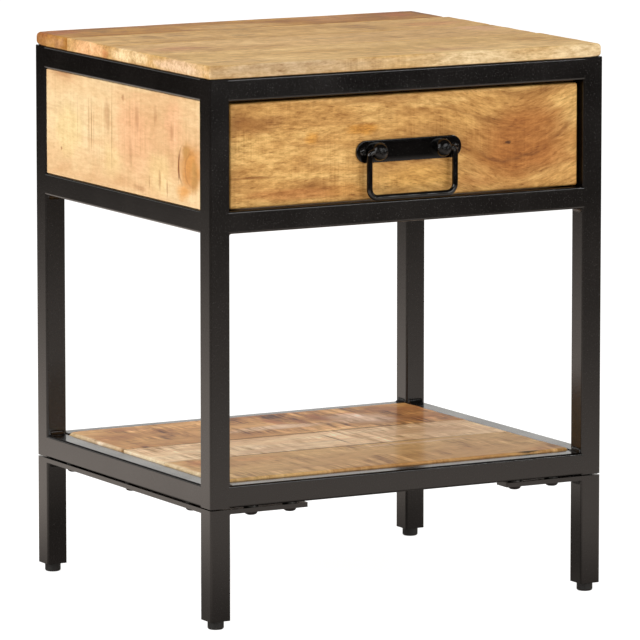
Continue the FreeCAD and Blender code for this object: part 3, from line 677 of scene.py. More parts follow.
class SIDETABLE_OT_top(Operator):
    """Make the four glued boards of the table top"""

    bl_idname = "sidetable.top"
    bl_label = "Top boards"

    def execute(self, context):
        settings = context.scene.side_table_top
        brown, gold, rose = (128, 86, 44), (186, 136, 66), (198, 140, 96)
        # Painted light: the pale tint on the next line makes the front board's front edge lighter,
        # as light from the front would.
        painted_lit_edge_tint = (228, 202, 156)
        looks = [
            dict(pale=(191, 140, 61), middle=(173, 118, 47), dark=(148, 91, 31),
                 streak=(127, 75, 31), figure=0.5, patches=[
                     ((-185, 152, 500), (26, 26, 8), (172, 98, 60), 0.7),
                     # Painted light: a paler tint on the board's left end, standing in for the
                     # light from the left.
                     ((-203, 140, 494), (4, 34, 14), (220, 172, 142), 0.9),
                     ((-146, 146, 500), (12, 12, 6), brown, 0.6),
                     ((-90, 160, 500), (60, 16, 6), (176, 124, 66), 0.6),
                     ((-20, 128, 500), (60, 22, 6), (206, 168, 112), 0.6),
                     ((95, 150, 500), (40, 26, 6), (190, 134, 82), 0.6),
                     ((162, 148, 500), (20, 22, 6), (172, 96, 50), 0.7),
                     ((194, 145, 500), (10, 30, 8), (120, 74, 48), 0.7)]),
            dict(pale=(215, 174, 110), middle=(203, 159, 94), dark=(182, 137, 73),
                 streak=(151, 104, 52), figure=0.42, patches=[
                     # Painted light: a paler tint on the board's left end, standing in for the
                     # light from the left.
                     ((-200, 68, 494), (5, 45, 9), (240, 186, 134), 0.9),
                     ((-131, 76, 500), (14, 26, 8), (142, 98, 48), 0.65),
                     ((-102, 78, 500), (18, 16, 8), (152, 108, 64), 0.5),
                     ((-30, 102, 500), (36, 10, 8), (168, 130, 78), 0.7),
                     ((-50, 52, 500), (14, 18, 8), (160, 122, 72), 0.5),
                     ((80, 68, 500), (30, 20, 8), (158, 112, 62), 0.7),
                     ((150, 62, 500), (44, 22, 8), (190, 130, 78), 0.7),
                     ((-202, 34, 492), (7, 8, 6), (196, 122, 66), 0.7)]),
            dict(pale=(215, 175, 114), middle=(204, 161, 100), dark=(186, 142, 81),
                 streak=(160, 115, 64), figure=0.36, patches=[
                     # Painted light: a paler tint on the board's left end, standing in for the
                     # light from the left.
                     ((-200, -16, 494), (5, 45, 9), (248, 218, 168), 0.9),
                     ((-144, -22, 500), (26, 14, 8), (158, 106, 58), 0.6),
                     ((-185, 12, 500), (10, 16, 8), (168, 124, 70), 0.5),
                     ((-160, -22, 500), (40, 22, 8), rose, 0.5),
                     ((20, -6, 500), (80, 6, 8), (172, 132, 84), 0.5),
                     ((170, 4, 500), (24, 24, 8), (208, 156, 118), 0.6),
                     ((-203, -52, 492), (7, 7, 6), (190, 138, 64), 0.7)]),
            dict(pale=(220, 182, 119), middle=(209, 168, 104), dark=(190, 148, 81),
                 streak=(166, 121, 63), figure=0.36, patches=[
                     # Painted light: a paler tint on the board's left end, standing in for the
                     # light from the left.
                     ((-200, -112, 494), (5, 60, 9), (230, 196, 158), 0.9),
                     # Painted light: these three patches make the front board's front edge paler,
                     # standing in for the light from the front.
                     ((-120, -168, 493), (140, 5, 16), (194, 166, 128), 0.9),
                     ((90, -168, 493), (120, 5, 16), painted_lit_edge_tint, 0.95),
                     ((190, -168, 493), (60, 5, 16), painted_lit_edge_tint, 0.95),
                     ((-60, -100, 500), (60, 14, 8), gold, 0.35),
                     ((-150, -140, 500), (46, 14, 8), (178, 136, 86), 0.5),
                     ((50, -140, 500), (44, 14, 8), (178, 126, 80), 0.6),
                     ((160, -98, 500), (26, 18, 8), gold, 0.6)]),
        ]
        for number, (look, short) in enumerate(zip(looks, (3.2, 0, 1.4, 0)), start=1):
            finish = wood(f"top_wood_{number}", "X", 10 + number, gloss=settings.lacquer,
                          gloss_roughness=0.35, fibre=0.5, mottle=0.5, pores=0.25, saw=0.2,
                          saw_pitch=6, **look)
            laid_board(f"top_board_{number}", number, len(looks), settings, finish,
                       "frame", short)
        return {"FINISHED"}


class SIDETABLE_OT_shelf(Operator):
    """Make the three boards of the shelf, with saw marks across them"""

    bl_idname = "sidetable.shelf"
    bl_label = "Shelf boards"

    def execute(self, context):
        settings = context.scene.side_table_shelf
        rust, glare, seam = (166, 92, 44), (246, 218, 190), (96, 58, 34)
        sunlit = (255, 240, 205)
        z = 130.5           # millimetres: the boards' upper face
        looks = [
            dict(pale=(240, 190, 124), middle=(210, 154, 88), dark=(175, 109, 54),
                 streak=(196, 128, 78), saw=1.6, saw_pitch=14, patches=[
                     ((-180, 100, z), (5, 90, 5), sunlit, 0.5),
                     ((-125, 138, z), (26, 12, 4), rust, 0.6),
                     ((14, 112, z), (10, 26, 4), rust, 0.8),
                     ((36, 106, z), (8, 28, 4), rust, 0.75),
                     ((62, 116, z), (9, 26, 4), rust, 0.8),
                     ((20, 148, z), (70, 7, 4), rust, 0.6),
                     ((140, 140, z), (24, 14, 4), rust, 0.55),
                     ((0, 82, z), (60, 14, 4), glare, 0.6),
                     ((95, 88, z), (34, 34, 4), glare, 0.5),
                     ((0, 41, z), (230, 2.6, 3), seam, 0.8)]),
            dict(pale=(254, 230, 190), middle=(250, 213, 165), dark=(228, 183, 134),
                 streak=(186, 138, 98), saw=0.8, saw_pitch=8, patches=[
                     ((-180, 0, z), (5, 90, 5), sunlit, 0.5),
                     ((18, -2, z), (1.6, 30, 4), (120, 74, 44), 0.8),
                     ((-60, -22, z), (50, 14, 4), (196, 148, 106), 0.4),
                     ((0, -39, z), (230, 3.0, 3), seam, 0.7)]),
            dict(pale=(225, 184, 120), middle=(209, 163, 102), dark=(188, 138, 80),
                 streak=(192, 142, 92), saw=0.8, saw_pitch=11, patches=[
                     ((-180, -90, z), (5, 90, 5), sunlit, 0.5),
                     ((-150, -60, z), (24, 22, 4), (212, 138, 74), 0.7),
                     ((-95, -60, z), (30, 12, 4), (218, 158, 96), 0.6),
                     ((60, -52, z), (70, 6, 4), glare, 0.4),
                     ((134, -144, z), (13, 2.6, 3), (14, 9, 6), 1.0),
                     ((143, -144, z), (6, 2.4, 3), (10, 7, 5), 1.0),
                     ((154, -136, z), (18, 10, 4), (206, 146, 86), 0.6)]),
        ]
        for number, look in enumerate(looks, start=1):
            finish = wood(f"shelf_wood_{number}", "X", 20 + number, gloss=settings.lacquer,
                          gloss_roughness=0.16, fibre=0.3, mottle=0.22, figure=0.35,
                          **look)
            laid_board(f"shelf_board_{number}", number, len(looks), settings, finish,
                       "frame")
        return {"FINISHED"}


# ---- panels -------------------------------------------------------------------------------

class PanelSettings(PropertyGroup):
    """Shape and lacquer of the upright panels"""

    easing: length_property("Edge rounding", "Rounding of the panels' edges", 0.9)
    hollow: length_property("Sanding hollows", "Depth of the sanding's hollows in a face", 0.2)
    lacquer: part_property("Lacquer", "Weight of the lacquer's gloss", 0.2)


def upright_board(node, settings, material, body, face, seed):
    """An upright board that stands for its CAD node.

    Its outer face, across the given axis, sinks inwards by up to the hollows' depth, by the
    slow wander of three sines.
    """
    low, high = corners_of(node)
    axis, outward = face
    along = 1 - axis

    def shape(points):
        points = points.copy()
        share = (points[:, axis] - low[axis]) / (high[axis] - low[axis])
        share = share if outward > 0 else 1 - share
        sink = settings.hollow * unevenness(points[:, along], points[:, 2], seed)
        points[:, axis] -= outward * share * sink
        return points

    points, faces = block(low, high, settings.easing, BOARD_PITCH, shape=shape)
    piece = build(node + "_wood", points, faces, body, (node,), flat_sides=True)
    piece.data.materials.append(material)
    return piece


class SIDETABLE_OT_panels(Operator):
    """Make the side panels and the back panel"""

    bl_idname = "sidetable.panels"
    bl_label = "Panels"

    def execute(self, context):
        settings = context.scene.side_table_panels
        tones = dict(pale=(240, 214, 166), middle=(236, 202, 152),
                     dark=(224, 180, 130), streak=(206, 154, 104), figure=0.3,
                     fibre=0.2, mottle=0.16, pores=0.15, saw=0.12, saw_pitch=5)
        brown, pink, olive = (168, 108, 62), (238, 182, 138), (186, 138, 74)
        cream = (240, 214, 150)
        x = -199            # millimetres: the left panel's outer face
        knot = (x, -127, 407)
        left = wood("panel_wood_left", "Y", 31, gloss=settings.lacquer, **tones, patches=[
            ((x, 110, 415), (9, 34, 30), cream, 0.5),
            ((x, -20, 425), (9, 44, 40), pink, 0.55),
            ((x, -95, 440), (9, 24, 24), pink, 0.55),
            ((x, -70, 395), (9, 26, 20), cream, 0.45),
            ((x, 22, 395), (9, 22, 20), cream, 0.4),
            ((x, 63, 428), (9, 1.4, 28), brown, 0.6),
            ((x, 68, 425), (9, 1.0, 32), brown, 0.6),
            ((x, 58, 420), (9, 1.0, 22), brown, 0.45),
            ((x, 90, 430), (9, 1.2, 22), brown, 0.3),
            ((x, 32, 436), (9, 7, 20), brown, 0.4),
            ((x, 23, 420), (9, 0.9, 42), brown, 0.55),
            ((x, 1, 456), (9, 3, 4), brown, 0.6),
            ((x, -27, 440), (9, 5, 16), brown, 0.4),
            ((x, -14, 408), (9, 4, 16), brown, 0.3),
            ((x, -62, 446), (9, 4, 10), brown, 0.4),
            ((x, -70, 390), (9, 3, 10), brown, 0.5),
            ((x, -84, 384), (9, 1.6, 9), brown, 0.55),
            ((x, -50, 386), (9, 1.4, 8), brown, 0.5),
            ((x, -93, 435), (9, 4, 9), brown, 0.4),
            ((x, -32, 378), (9, 14, 4), brown, 0.4),
            ((x, 123, 398), (9, 2, 2), brown, 0.8),
            ((x, 118, 466), (9, 25, 3), brown, 0.45),
            (knot, (9, 24, 24), (208, 146, 76), 1.0),
            ((x, -120, 420), (9, 8, 9), olive, 0.8),
            ((x, -136, 398), (9, 8, 18), olive, 0.8),
            ((x, -114, 384), (9, 14, 9), (222, 156, 78), 0.8),
            ((x, -106, 405), (9, 1.3, 15), (128, 72, 32), 0.85),
        ], rings=[
            (knot, (40, 22, 23), 0.09, (138, 80, 34), 1.0, (x, -100, 408), (9, 18, 26)),
            ((x, -132, 405), (40, 14, 15), 0.16, (164, 108, 56), 0.5,
             (x, -126, 405), (9, 20, 24)),
        ])
        right = wood("panel_wood_right", "Y", 32, gloss=settings.lacquer, **tones)
        back = wood("panel_wood_back", "X", 33, gloss=settings.lacquer, **tones)
        upright_board("side_panel_left", settings, left, "frame", (0, -1), 3)
        upright_board("side_panel_right", settings, right, "frame", (0, 1), 4)
        upright_board("back_panel", settings, back, "frame", (1, 1), 5)
        return {"FINISHED"}


# ---- drawer -------------------------------------------------------------------------------

class DrawerSettings(PropertyGroup):
    """Shape and lacquer of the drawer front"""

    easing: length_property("Edge rounding", "Rounding of the drawer front's edges", 1.8)
    hollow: length_property("Sanding hollows", "Depth of the sanding's hollows in a face", 0.3)
    lacquer: part_property("Lacquer", "Weight of the lacquer's gloss", 0.25)


class SIDETABLE_OT_drawer(Operator):
    """Make the drawer front and finish the drawer's box"""

    bl_idname = "sidetable.drawer"
    bl_label = "Drawer"

    def execute(self, context):
        settings = context.scene.side_table_drawer
        brown, rust = (142, 88, 34), (172, 98, 46)
        gold, cream = (208, 144, 52), (232, 190, 118)
        peach = (164, 100, 42)
        y = -161            # millimetres: the drawer's outer face
        front = wood(
            "drawer_front_wood", "X", 41, pale=(226, 184, 112), middle=(206, 157, 88),
            dark=(172, 121, 58), streak=(144, 92, 38), figure=0.45, fibre=0.75,
            mottle=0.35, pores=0.4, saw=0.2, saw_pitch=3, gloss=settings.lacquer,
            dip=(112, 62, 26), patches=[
                ((-148, y, 446), (30, 9, 9), brown, 0.65),
                ((-168, y, 450), (14, 9, 8), brown, 0.5),
                ((-110, y, 382), (60, 9, 7), rust, 0.5),
                ((-90, y, 388), (20, 9, 6), brown, 0.6),
                ((-160, y, 399), (34, 9, 1.6), brown, 0.7),
                ((-60, y, 382), (24, 9, 7), (190, 132, 62), 0.5),
                ((-45, y, 436), (20, 9, 6), gold, 0.8),
                ((-96, y, 431), (8, 9, 7), gold, 0.7),
                ((-70, y, 412), (36, 9, 12), cream, 0.55),
                ((-30, y, 450), (26, 9, 10), cream, 0.45),
                ((30, y, 457), (40, 9, 7), cream, 0.5),
                ((10, y, 390), (60, 9, 14), (226, 174, 92), 0.6),
                ((70, y, 384), (30, 9, 8), rust, 0.25),
                ((125, y, 412), (72, 9, 44), peach, 0.85),
                ((88, y, 436), (20, 9, 5), brown, 0.5),
                ((104.5, y, 415.5), (3.5, 9, 2), (70, 36, 14), 0.9),
                ((150, y, 400), (30, 9, 10), (180, 116, 56), 0.5),
                ((128, y, 460), (36, 9, 4), brown, 0.35),
            ], rings=[
                ((108, y, 446), (56, 40, 46), 0.06, (112, 64, 24), 0.55,
                 (112, y, 402), (52, 9, 18)),
                ((136, y, 470), (44, 40, 58), 0.08, (128, 76, 30), 0.5,
                 (160, y, 425), (24, 9, 22)),
            ])
        upright_board("drawer_front", settings, front, "drawer", (1, -1), 6)
        insides = (
            ("drawer_box_wood", "Y", 42, (232, 204, 160), (222, 188, 140), (206, 166, 116),
             (190, 146, 98), 0.3, 0.05, ("drawer_side_left", "drawer_side_right")),
            ("drawer_back_wood", "X", 43, (230, 202, 158), (220, 186, 138), (204, 164, 114),
             (188, 144, 96), 0.3, 0.05, ("drawer_back",)),
            ("drawer_bottom_veneer", "X", 44, (226, 196, 150), (216, 182, 134),
             (204, 168, 120), (188, 148, 104), 0.5, 0.0, ("drawer_bottom",)),
        )
        for name, grain, seed, pale, middle, dark, streak, figure, gloss, nodes in insides:
            finish = wood(name, grain, seed, pale, middle, dark, streak, figure, gloss=gloss)
            for node in nodes:
                paint_node(node, finish)
        return {"FINISHED"}


# ---- handle -------------------------------------------------------------------------------

class HandleSettings(PropertyGroup):
    """Paint and shape of the handle"""

    colour: colour_property("Paint", "Paint of the handle", 7, 6, 6)
    roughness: part_property("Paint roughness", "Roughness of the handle's paint", 0.09)
    plate_edge: length_property("Plate edge", "Rounding of the plate's front rim", 0.7)
    wire: length_property("Wire radius", "Radius of the bail's wire", 2.7)
    wire_corner: length_property("Lower bend", "Bend at the foot of an arm", 8)
    wire_shoulder: length_property("Upper bend", "Bend at the top of an arm", 3.5)
    wire_end: length_property("Wire end", "Handle's middle to the end of the wire", 25.5)


def plate(low, high, edge):
    """A flat plate with half-round ends and a rounded front rim.

    Its outline is every point at a radius R, half the height, from a straight line between
    the two end centres. Each ring of the surface is the same outline at R - i, for an inset
    i and a depth that follow the front face, a quarter circle at the rim, and the back.
    """
    radius = (high[2] - low[2]) / 2
    half = (high[0] - low[0]) / 2 - radius
    middle = (low + high) / 2
    turn = np.linspace(-math.pi / 2, math.pi / 2, ARC_POINTS)
    arc = np.stack([np.cos(turn), np.sin(turn)], axis=1)
    units = np.concatenate([arc, -arc])
    centres = np.repeat([half, -half], ARC_POINTS)
    bend = np.linspace(0, math.pi / 2, 6)
    inset = np.concatenate([[radius, radius / 2], edge * (1 - np.sin(bend)), [0, radius]])
    depth = np.concatenate([[0, 0], edge * (1 - np.cos(bend)),
                            np.full(2, high[1] - low[1])])
    reach = (radius - inset)[:, None]
    rings = np.empty((len(inset), len(units), 3))
    rings[..., 0] = middle[0] + centres + reach * units[:, 0]
    rings[..., 1] = (low[1] + depth)[:, None]
    rings[..., 2] = middle[2] + reach * units[:, 1]
    return sweep(rings[:, ::-1], closed_ends=False)


def wire_path(low, high, settings):
    """Points in x and z along the middle of the bail.

    It runs in from one end, turns down by a quarter circle, down the arm, round the lower
    bend and to the middle of the bar, and the other half mirrors it.
    """
    spread = (high[0] - low[0]) / 2 - settings.wire
    drop = (high[2] - low[2]) - 2 * settings.wire
    shoulder, corner = settings.wire_shoulder, settings.wire_corner
    turn = np.linspace(0, math.pi / 2, 13)
    upper = np.stack([spread - shoulder + shoulder * np.sin(turn),
                      shoulder * (np.cos(turn) - 1)], axis=1)
    lower = np.stack([spread - corner + corner * np.cos(turn),
                      corner - drop - corner * np.sin(turn)], axis=1)
    inward = np.linspace(settings.wire_end, spread - shoulder, 10)[:-1]
    start = np.stack([inward, np.zeros_like(inward)], axis=1)
    arm = np.linspace(-shoulder, corner - drop, 22)[1:-1]
    side = np.stack([np.full_like(arm, spread), arm], axis=1)
    bar = np.linspace(spread - corner, 0, 24)[1:]
    foot = np.stack([bar, np.full_like(bar, -drop)], axis=1)
    half = np.concatenate([start, upper, side, lower, foot])
    other = half[-2::-1] * [-1, 1]
    return np.concatenate([half, other]) + [(low[0] + high[0]) / 2, high[2] - settings.wire]


def wire(low, high, settings):
    """Round wire along the bail's path.

    Each ring has the radius r (1 + 0.02 sin(...) sin(...)) about the path, so the wire looks
    forged by hand; the last rings round off its two ends.
    """
    path = wire_path(low, high, settings)
    ahead = np.gradient(path, axis=0)
    ahead /= np.linalg.norm(ahead, axis=1, keepdims=True)
    outward = np.stack([ahead[:, 1], -ahead[:, 0]], axis=1)
    turn = np.linspace(0, 2 * math.pi, 25)[:-1]
    along = np.concatenate([[0], np.cumsum(np.linalg.norm(np.diff(path, axis=0), axis=1))])
    total = along[-1]
    forged = 1 + 0.02 * np.sin(along / (3.1 * MM))[:, None] * np.sin(2 * turn + 1)[None, :]
    nearest_end = np.minimum(along, total - along) / (0.6 * MM)
    rounded = np.sqrt(1 - (1 - np.clip(nearest_end, 0.02, 1)) ** 2) * 0.2 + 0.8
    radius = settings.wire * forged * rounded[:, None]
    middle_y = (low[1] + high[1]) / 2
    rings = np.empty(radius.shape + (3,))
    rings[..., 0] = path[:, 0, None] + outward[:, 0, None] * radius * np.cos(turn)
    rings[..., 1] = middle_y + radius * np.sin(turn)
    rings[..., 2] = path[:, 1, None] + outward[:, 1, None] * radius * np.cos(turn)
    return sweep(rings)


class SIDETABLE_OT_handle(Operator):
    """Make the handle's plate and bail, and paint its posts"""

    bl_idname = "sidetable.handle"
    bl_label = "Handle"

    def execute(self, context):
        settings = context.scene.side_table_handle
        coat = paint("handle_paint", tuple(settings.colour), settings.roughness, peel=0.03,
                     shine=0.45)
        points, faces = plate(*corners_of("handle_plate"), settings.plate_edge)
        piece = build("handle_plate_pressed", points, faces, "drawer",
                      ("handle_plate",))
        piece.data.materials.append(coat)
        points, faces = wire(*corners_of("handle_bail"), settings)
        piece = build("handle_bail_wire", points, faces, "bail",
                      ("handle_bail",))
        piece.data.materials.append(coat)
        cast = paint("pivot_paint", tuple(settings.colour), 0.16, peel=1.0, shine=0.25)
        paint_node("pivot_posts", cast)
        return {"FINISHED"}


# ---- screws and bolts ---------------------------------------------------------------------

def screw(seat, tip, head, head_height, shank, recess, recess_depth, lobes, star):
    """A round-headed screw from its seat to its tip.

    Rings of points go round the axis at a radius and a height above the seat: the floor and
    the wall of the driver's recess, the domed head as a quarter oval, the head's underside,
    and the shank. A recess ring has the radius a cos(pi/n) / cos(w) for an n-sided socket,
    where w is the angle from the middle of its side, and a / (1 + 2 sin(n t / 2)^2) for a
    cross, where t is the angle about the axis.
    """
    axis = seat - tip
    reach = np.linalg.norm(axis)
    axis = axis / reach
    helper = np.array([1.0, 0, 0]) if abs(axis[0]) < 0.5 else np.array([0, 1.0, 0])
    first = np.cross(axis, helper)
    first /= np.linalg.norm(first)
    second = np.cross(axis, first)
    turn = np.linspace(0, 2 * math.pi, 37)[:-1]
    if star:
        drive = 1 / (1 + 2 * np.sin(lobes * turn / 2) ** 2)
    else:
        side = 2 * math.pi / lobes
        drive = math.cos(side / 2) / np.cos(turn % side - side / 2)
    bend = np.linspace(0, math.pi / 2, 7)
    dome_start = recess * 1.15
    dome_r = dome_start + (head - dome_start) * np.sin(bend)
    dome_h = head_height * (0.15 + 0.85 * np.cos(bend))
    radius = np.concatenate([[recess * 0.05, recess * 0.9, recess], dome_r,
                             [head * 0.97, shank, shank, shank * 0.2]])
    height = np.concatenate([[head_height - recess_depth] * 2, [head_height], dome_h,
                             [0, 0, -0.9 * reach, -reach]])
    driven = np.zeros(len(radius))
    driven[:3] = 1
    spread = radius[:, None] * (1 + driven[:, None] * (drive - 1))
    rings = (seat + height[:, None, None] * axis
             + spread[..., None] * (np.cos(turn)[:, None] * first
                                    + np.sin(turn)[:, None] * second))
    return sweep(rings)


def screws_of(node, head_height, recess, recess_depth, lobes, star, shank_share):
    """A screw for each solid of a CAD node, along its longest side.

    The head is at the solid's end nearest to the middle of the table, or at its lower or
    front end.
    """
    parts = []
    for low, high in solids_of(node):
        sizes = high - low
        axis = int(np.argmax(sizes))
        middle = (low + high) / 2
        head = np.delete(sizes, axis).max() / 2
        inner_is_low = axis != 0 or middle[0] > 0
        seat, tip = middle.copy(), middle.copy()
        seat[axis] = low[axis] + head_height if inner_is_low else high[axis] - head_height
        tip[axis] = high[axis] if inner_is_low else low[axis]
        parts.append(screw(seat, tip, head, head_height, head * shank_share,
                           recess, recess_depth, lobes, star))
    return gathered(parts)


class FastenerSettings(PropertyGroup):
    """Finish of the bolts and screws"""

    bolt_colour: colour_property("Bolts", "Blackened steel of the base bolts", 38, 35, 34)
    zinc_colour: colour_property("Zinc", "Dull plating of the screws and rivet nuts", 96, 95, 92)
    socket: length_property("Bolt socket", "Corner radius of the base bolts' sockets", 2.3)


class SIDETABLE_OT_fasteners(Operator):
    """Make the bolts and screws with their sockets, and plate the rivet nuts"""

    bl_idname = "sidetable.fasteners"
    bl_label = "Bolts and screws"

    def execute(self, context):
        settings = context.scene.side_table_fasteners
        black = bare_metal("bolt_blackening", tuple(settings.bolt_colour), 0.42, 0.5)
        zinc = bare_metal("zinc_plating", tuple(settings.zinc_colour), 0.45, 1.0)
        rows = [
            ("base_bolts", "frame", "bolt_steel", black, 3.8 * MM, settings.socket, 2 * MM,
             6, False, 0.5),
            ("wood_screws", "frame", "zinc_steel", zinc, 2.5 * MM, 2.2 * MM, 1.4 * MM,
             4, True, 0.5),
            ("handle_screws", "drawer", "handle_steel", bpy.data.materials["handle_paint"],
             1.8 * MM, 1.6 * MM, 1.1 * MM, 6, False, 0.53),
        ]
        for node, body, slot, metal, rise, recess, depth, lobes, star, shank in rows:
            points, faces = screws_of(node, rise, recess, depth, lobes, star, shank)
            piece = build(node + "_driven", points, faces, body, (node,),
                          flat_sides=True)
            piece.data.materials.append(metal)
        paint_node("rivet_nuts", zinc)
        return {"FINISHED"}


class SIDETABLE_OT_feet(Operator):
    """Finish the moulded feet"""

    bl_idname = "sidetable.feet"
    bl_label = "Feet"

    def execute(self, context):
        plastic = moulded("foot_plastic", shade(24, 23, 22))
        for node in nodes_named("foot_"):
            paint_node(node, plastic)
        return {"FINISHED"}


# ---- stage --------------------------------------------------------------------------------

class StageSettings(PropertyGroup):
    """Lights, room and camera"""

    key: power_property("Key light", "Power of the soft light on the left", 47)
    fill: power_property("Fill light", "Power of the soft light in front", 27)
    overhead: power_property("Overhead light", "Power of the light above", 20)
    spark: power_property("Sparks", "Power of each of two small lights", 4)
    ambient: FloatProperty(name="Ambient", description="Brightness of the room", default=0.5,
                           min=0)
    azimuth: FloatProperty(name="Camera azimuth", description="Camera's turn to the left",
                           default=math.radians(28.94), subtype="ANGLE")
    elevation: FloatProperty(name="Camera elevation", description="Camera above the horizon",
                             default=math.radians(8.41), subtype="ANGLE")
    distance: FloatProperty(name="Camera distance", description="Camera to what it looks at",
                            default=5.953, unit="LENGTH", subtype="DISTANCE")
    lens: FloatProperty(name="Lens", description="Focal length of the camera in millimetres",
                        default=368.5, subtype="NONE")


def plain_mesh(name, points, faces):
    """A mesh object that belongs to the stage."""
    mesh = bpy.data.meshes.new(name)
    mesh.from_pydata(points, [], faces)
    thing = bpy.data.objects.new(name, mesh)
    bpy.context.scene.collection.objects.link(thing)
    return thing


def square(half, level):
    """Points and face of a level square, given half its side and its height."""
    corners = [(-half, -half, level), (half, -half, level), (half, half, level),
               (-half, half, level)]
    return corners, [(0, 1, 2, 3)]


def pale_floor():
    """A plain white floor that only the camera sees, with faint shadows."""
    floor = plain_mesh("floor", *square(40, 0))
    finish = Finish("floor_white")
    finish.set(base_color=(0.3, 0.3, 0.3), roughness=1.0, specular_ior_level=0.0,
               emission_color=(1, 1, 1), emission_strength=0.93)
    floor.data.materials.append(finish.material)
    floor.visible_glossy = False
    floor.visible_diffuse = False
    floor.visible_transmission = False


def lit_floor():
    """The lit floor round the table, as the table's paint and wood see it.

    Its glow is painted light that stands in for the lit floor. It falls as exp(-(d / 1.95 m)^2.3)
    with the distance d from a point a little to the left and the rear, and is dimmed under the
    table, a painted shadow of the table.
    """
    floor = plain_mesh("lit_floor", *square(8, -1 * MM))
    finish = Finish("lit_floor_glow")
    far = finish.length(finish.place)
    from_middle = finish.length(finish.moved(finish.place, shift=(0.08, -0.12, 0)))
    fall = finish.math("POWER", finish.math("DIVIDE", from_middle, 1.95), 2.3)
    glow = finish.math("EXPONENT", finish.math("MULTIPLY", fall, -1))
    # Painted shadow: the glow is dimmed under the table, where the table would shade the floor.
    painted_table_shadow = finish.step(far, 0.1, 0.8, 0.14, 1)
    glow = finish.math("MULTIPLY", finish.math("MULTIPLY_ADD", glow, 1.6, 0.02), painted_table_shadow)
    finish.set(base_color=(0, 0, 0), roughness=1.0, specular_ior_level=0.0,
               emission_color=(1, 0.88, 0.79), emission_strength=glow)
    floor.data.materials.append(finish.material)
    floor.visible_camera = False
    floor.visible_shadow = False


def room(ambient):
    """White to the camera, even to matt surfaces, and a band of light to gloss.

    The band is dark at the horizon, brightest a little above it and dim overhead.
    """
    world = bpy.data.worlds.new("studio")
    world.use_nodes = True
    bpy.context.scene.world = world
    tree = world.node_tree
    background = tree.nodes["Background"]
    rays = tree.nodes.new("ShaderNodeLightPath")
    where = tree.nodes.new("ShaderNodeTexCoord")
    split = tree.nodes.new("ShaderNodeSeparateXYZ")
    tree.links.new(where.outputs["Generated"], split.inputs[0])
    band = tree.nodes.new("ShaderNodeValToRGB")
    band.color_ramp.interpolation = "EASE"
    levels = band.color_ramp.elements
    while len(levels) < len(ROOM_BAND):
        levels.new(0.5)
    for level, (height, grey) in zip(levels, ROOM_BAND):
        level.position = height
        level.color = (grey, grey, grey, 1)
    tree.links.new(split.outputs[2], band.inputs[0])

    def chosen(ray, yes, no):
        """One value for rays of this kind and another for the rest."""
        node = tree.nodes.new("ShaderNodeMix")
        tree.links.new(rays.outputs[ray], node.inputs[0])
        for socket, value in ((node.inputs[2], no), (node.inputs[3], yes)):
            if isinstance(value, bpy.types.NodeSocket):
                tree.links.new(value, socket)
            else:
                socket.default_value = value
        return node.outputs[0]

    gained = tree.nodes.new("ShaderNodeMath")
    gained.operation = "MULTIPLY"
    gained.inputs[1].default_value = ROOM_GAIN
    tree.links.new(band.outputs[0], gained.inputs[0])
    strength = chosen("Is Glossy Ray", gained.outputs[0], ambient)
    strength = chosen("Is Camera Ray", 1.1, strength)
    tree.links.new(strength, background.inputs["Strength"])
    background.inputs["Color"].default_value = (1, 0.98, 0.94, 1)


def soft_light(name, place, side, power):
    """A square light at a place, turned to the table."""
    light = bpy.data.lights.new(name, "AREA")
    light.shape = "RECTANGLE"
    light.size, light.size_y = side, side
    light.energy = power
    lamp = bpy.data.objects.new(name, light)
    lamp.location = place
    lamp.rotation_euler = (Vector(LIGHT_AIM) - Vector(place)).to_track_quat("-Z", "Y").to_euler()
    bpy.context.scene.collection.objects.link(lamp)
    return lamp


def camera(settings):
    """A camera in front and to the left, a little above the table."""
    turn, lift = settings.azimuth, settings.elevation
    ahead = Vector((math.sin(turn) * math.cos(lift), math.cos(turn) * math.cos(lift),
                    -math.sin(lift)))
    right = Vector((math.cos(turn), -math.sin(turn), 0))
    up = right.cross(ahead)
    aim = Vector(TABLE_MIDDLE) - AIM_LEFT * right - AIM_DOWN * up
    data = bpy.data.cameras.new("camera")
    data.lens = settings.lens
    data.sensor_width = 36
    data.clip_end = 60
    thing = bpy.data.objects.new("camera", data)
    turned = Matrix((right, up, -ahead)).transposed().to_4x4()
    thing.matrix_world = Matrix.Translation(aim - settings.distance * ahead) @ turned
    bpy.context.scene.collection.objects.link(thing)
    bpy.context.scene.camera = thing


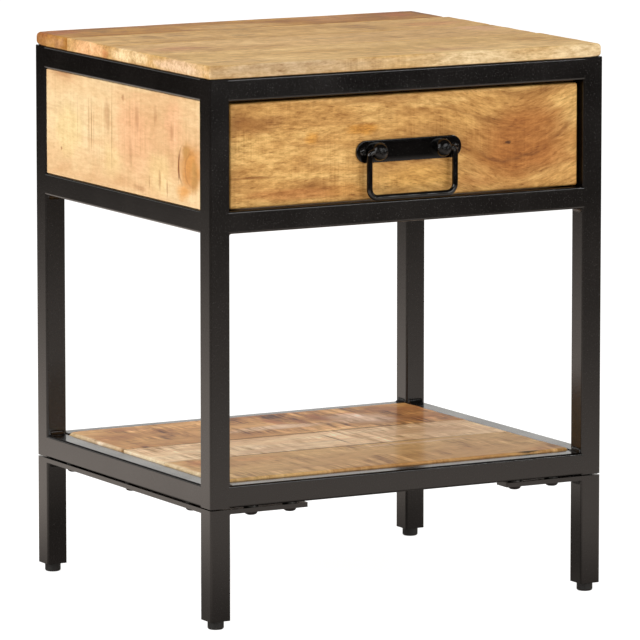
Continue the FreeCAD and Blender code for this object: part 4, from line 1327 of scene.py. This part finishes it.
class SIDETABLE_OT_stage(Operator):
    """Make the floor, the room, the soft lights and the camera"""

    bl_idname = "sidetable.stage"
    bl_label = "Stage"

    def execute(self, context):
        settings = context.scene.side_table_stage
        pale_floor()
        lit_floor()
        room(settings.ambient)
        for name, place, side, power, in_gloss in LIGHTS:
            lamp = soft_light(name, place, side, getattr(settings, power))
            lamp.visible_glossy = in_gloss
        camera(settings)
        context.scene.view_settings.view_transform = "Standard"
        return {"FINISHED"}


# ---- registration -------------------------------------------------------------------------

class SIDETABLE_PT_panel(Panel):
    """Lists the pieces of the side table"""

    bl_idname = "SIDETABLE_PT_panel"
    bl_label = "Side table"
    bl_space_type = "VIEW_3D"
    bl_region_type = "UI"
    bl_category = "Side table"

    def draw(self, context):
        for operator in OPERATORS:
            self.layout.operator(operator.bl_idname)
        for name, kind in SETTINGS:
            box = self.layout.box()
            box.label(text=kind.bl_rna.name)
            for key in kind.__annotations__:
                box.prop(getattr(context.scene, name), key)


SETTINGS = (
    ("side_table_steel", SteelSettings),
    ("side_table_top", BoardSettings),
    ("side_table_shelf", BoardSettings),
    ("side_table_panels", PanelSettings),
    ("side_table_drawer", DrawerSettings),
    ("side_table_handle", HandleSettings),
    ("side_table_fasteners", FastenerSettings),
    ("side_table_stage", StageSettings),
)
OPERATORS = (
    SIDETABLE_OT_stage,
    SIDETABLE_OT_frame,
    SIDETABLE_OT_welds,
    SIDETABLE_OT_top,
    SIDETABLE_OT_shelf,
    SIDETABLE_OT_panels,
    SIDETABLE_OT_drawer,
    SIDETABLE_OT_handle,
    SIDETABLE_OT_fasteners,
    SIDETABLE_OT_feet,
)


def register():
    for kind in dict.fromkeys(kind for _, kind in SETTINGS):
        bpy.utils.register_class(kind)
    for name, kind in SETTINGS:
        setattr(bpy.types.Scene, name, PointerProperty(type=kind))
    for operator in OPERATORS:
        bpy.utils.register_class(operator)
    bpy.utils.register_class(SIDETABLE_PT_panel)


def unregister():
    bpy.utils.unregister_class(SIDETABLE_PT_panel)
    for operator in reversed(OPERATORS):
        bpy.utils.unregister_class(operator)
    for name, _ in SETTINGS:
        delattr(bpy.types.Scene, name)
    for kind in dict.fromkeys(kind for _, kind in SETTINGS):
        bpy.utils.unregister_class(kind)


def main():
    register()
    for operator in OPERATORS:
        group, name = operator.bl_idname.split(".")
        getattr(getattr(bpy.ops, group), name)()


if __name__ == "__main__":
    main()
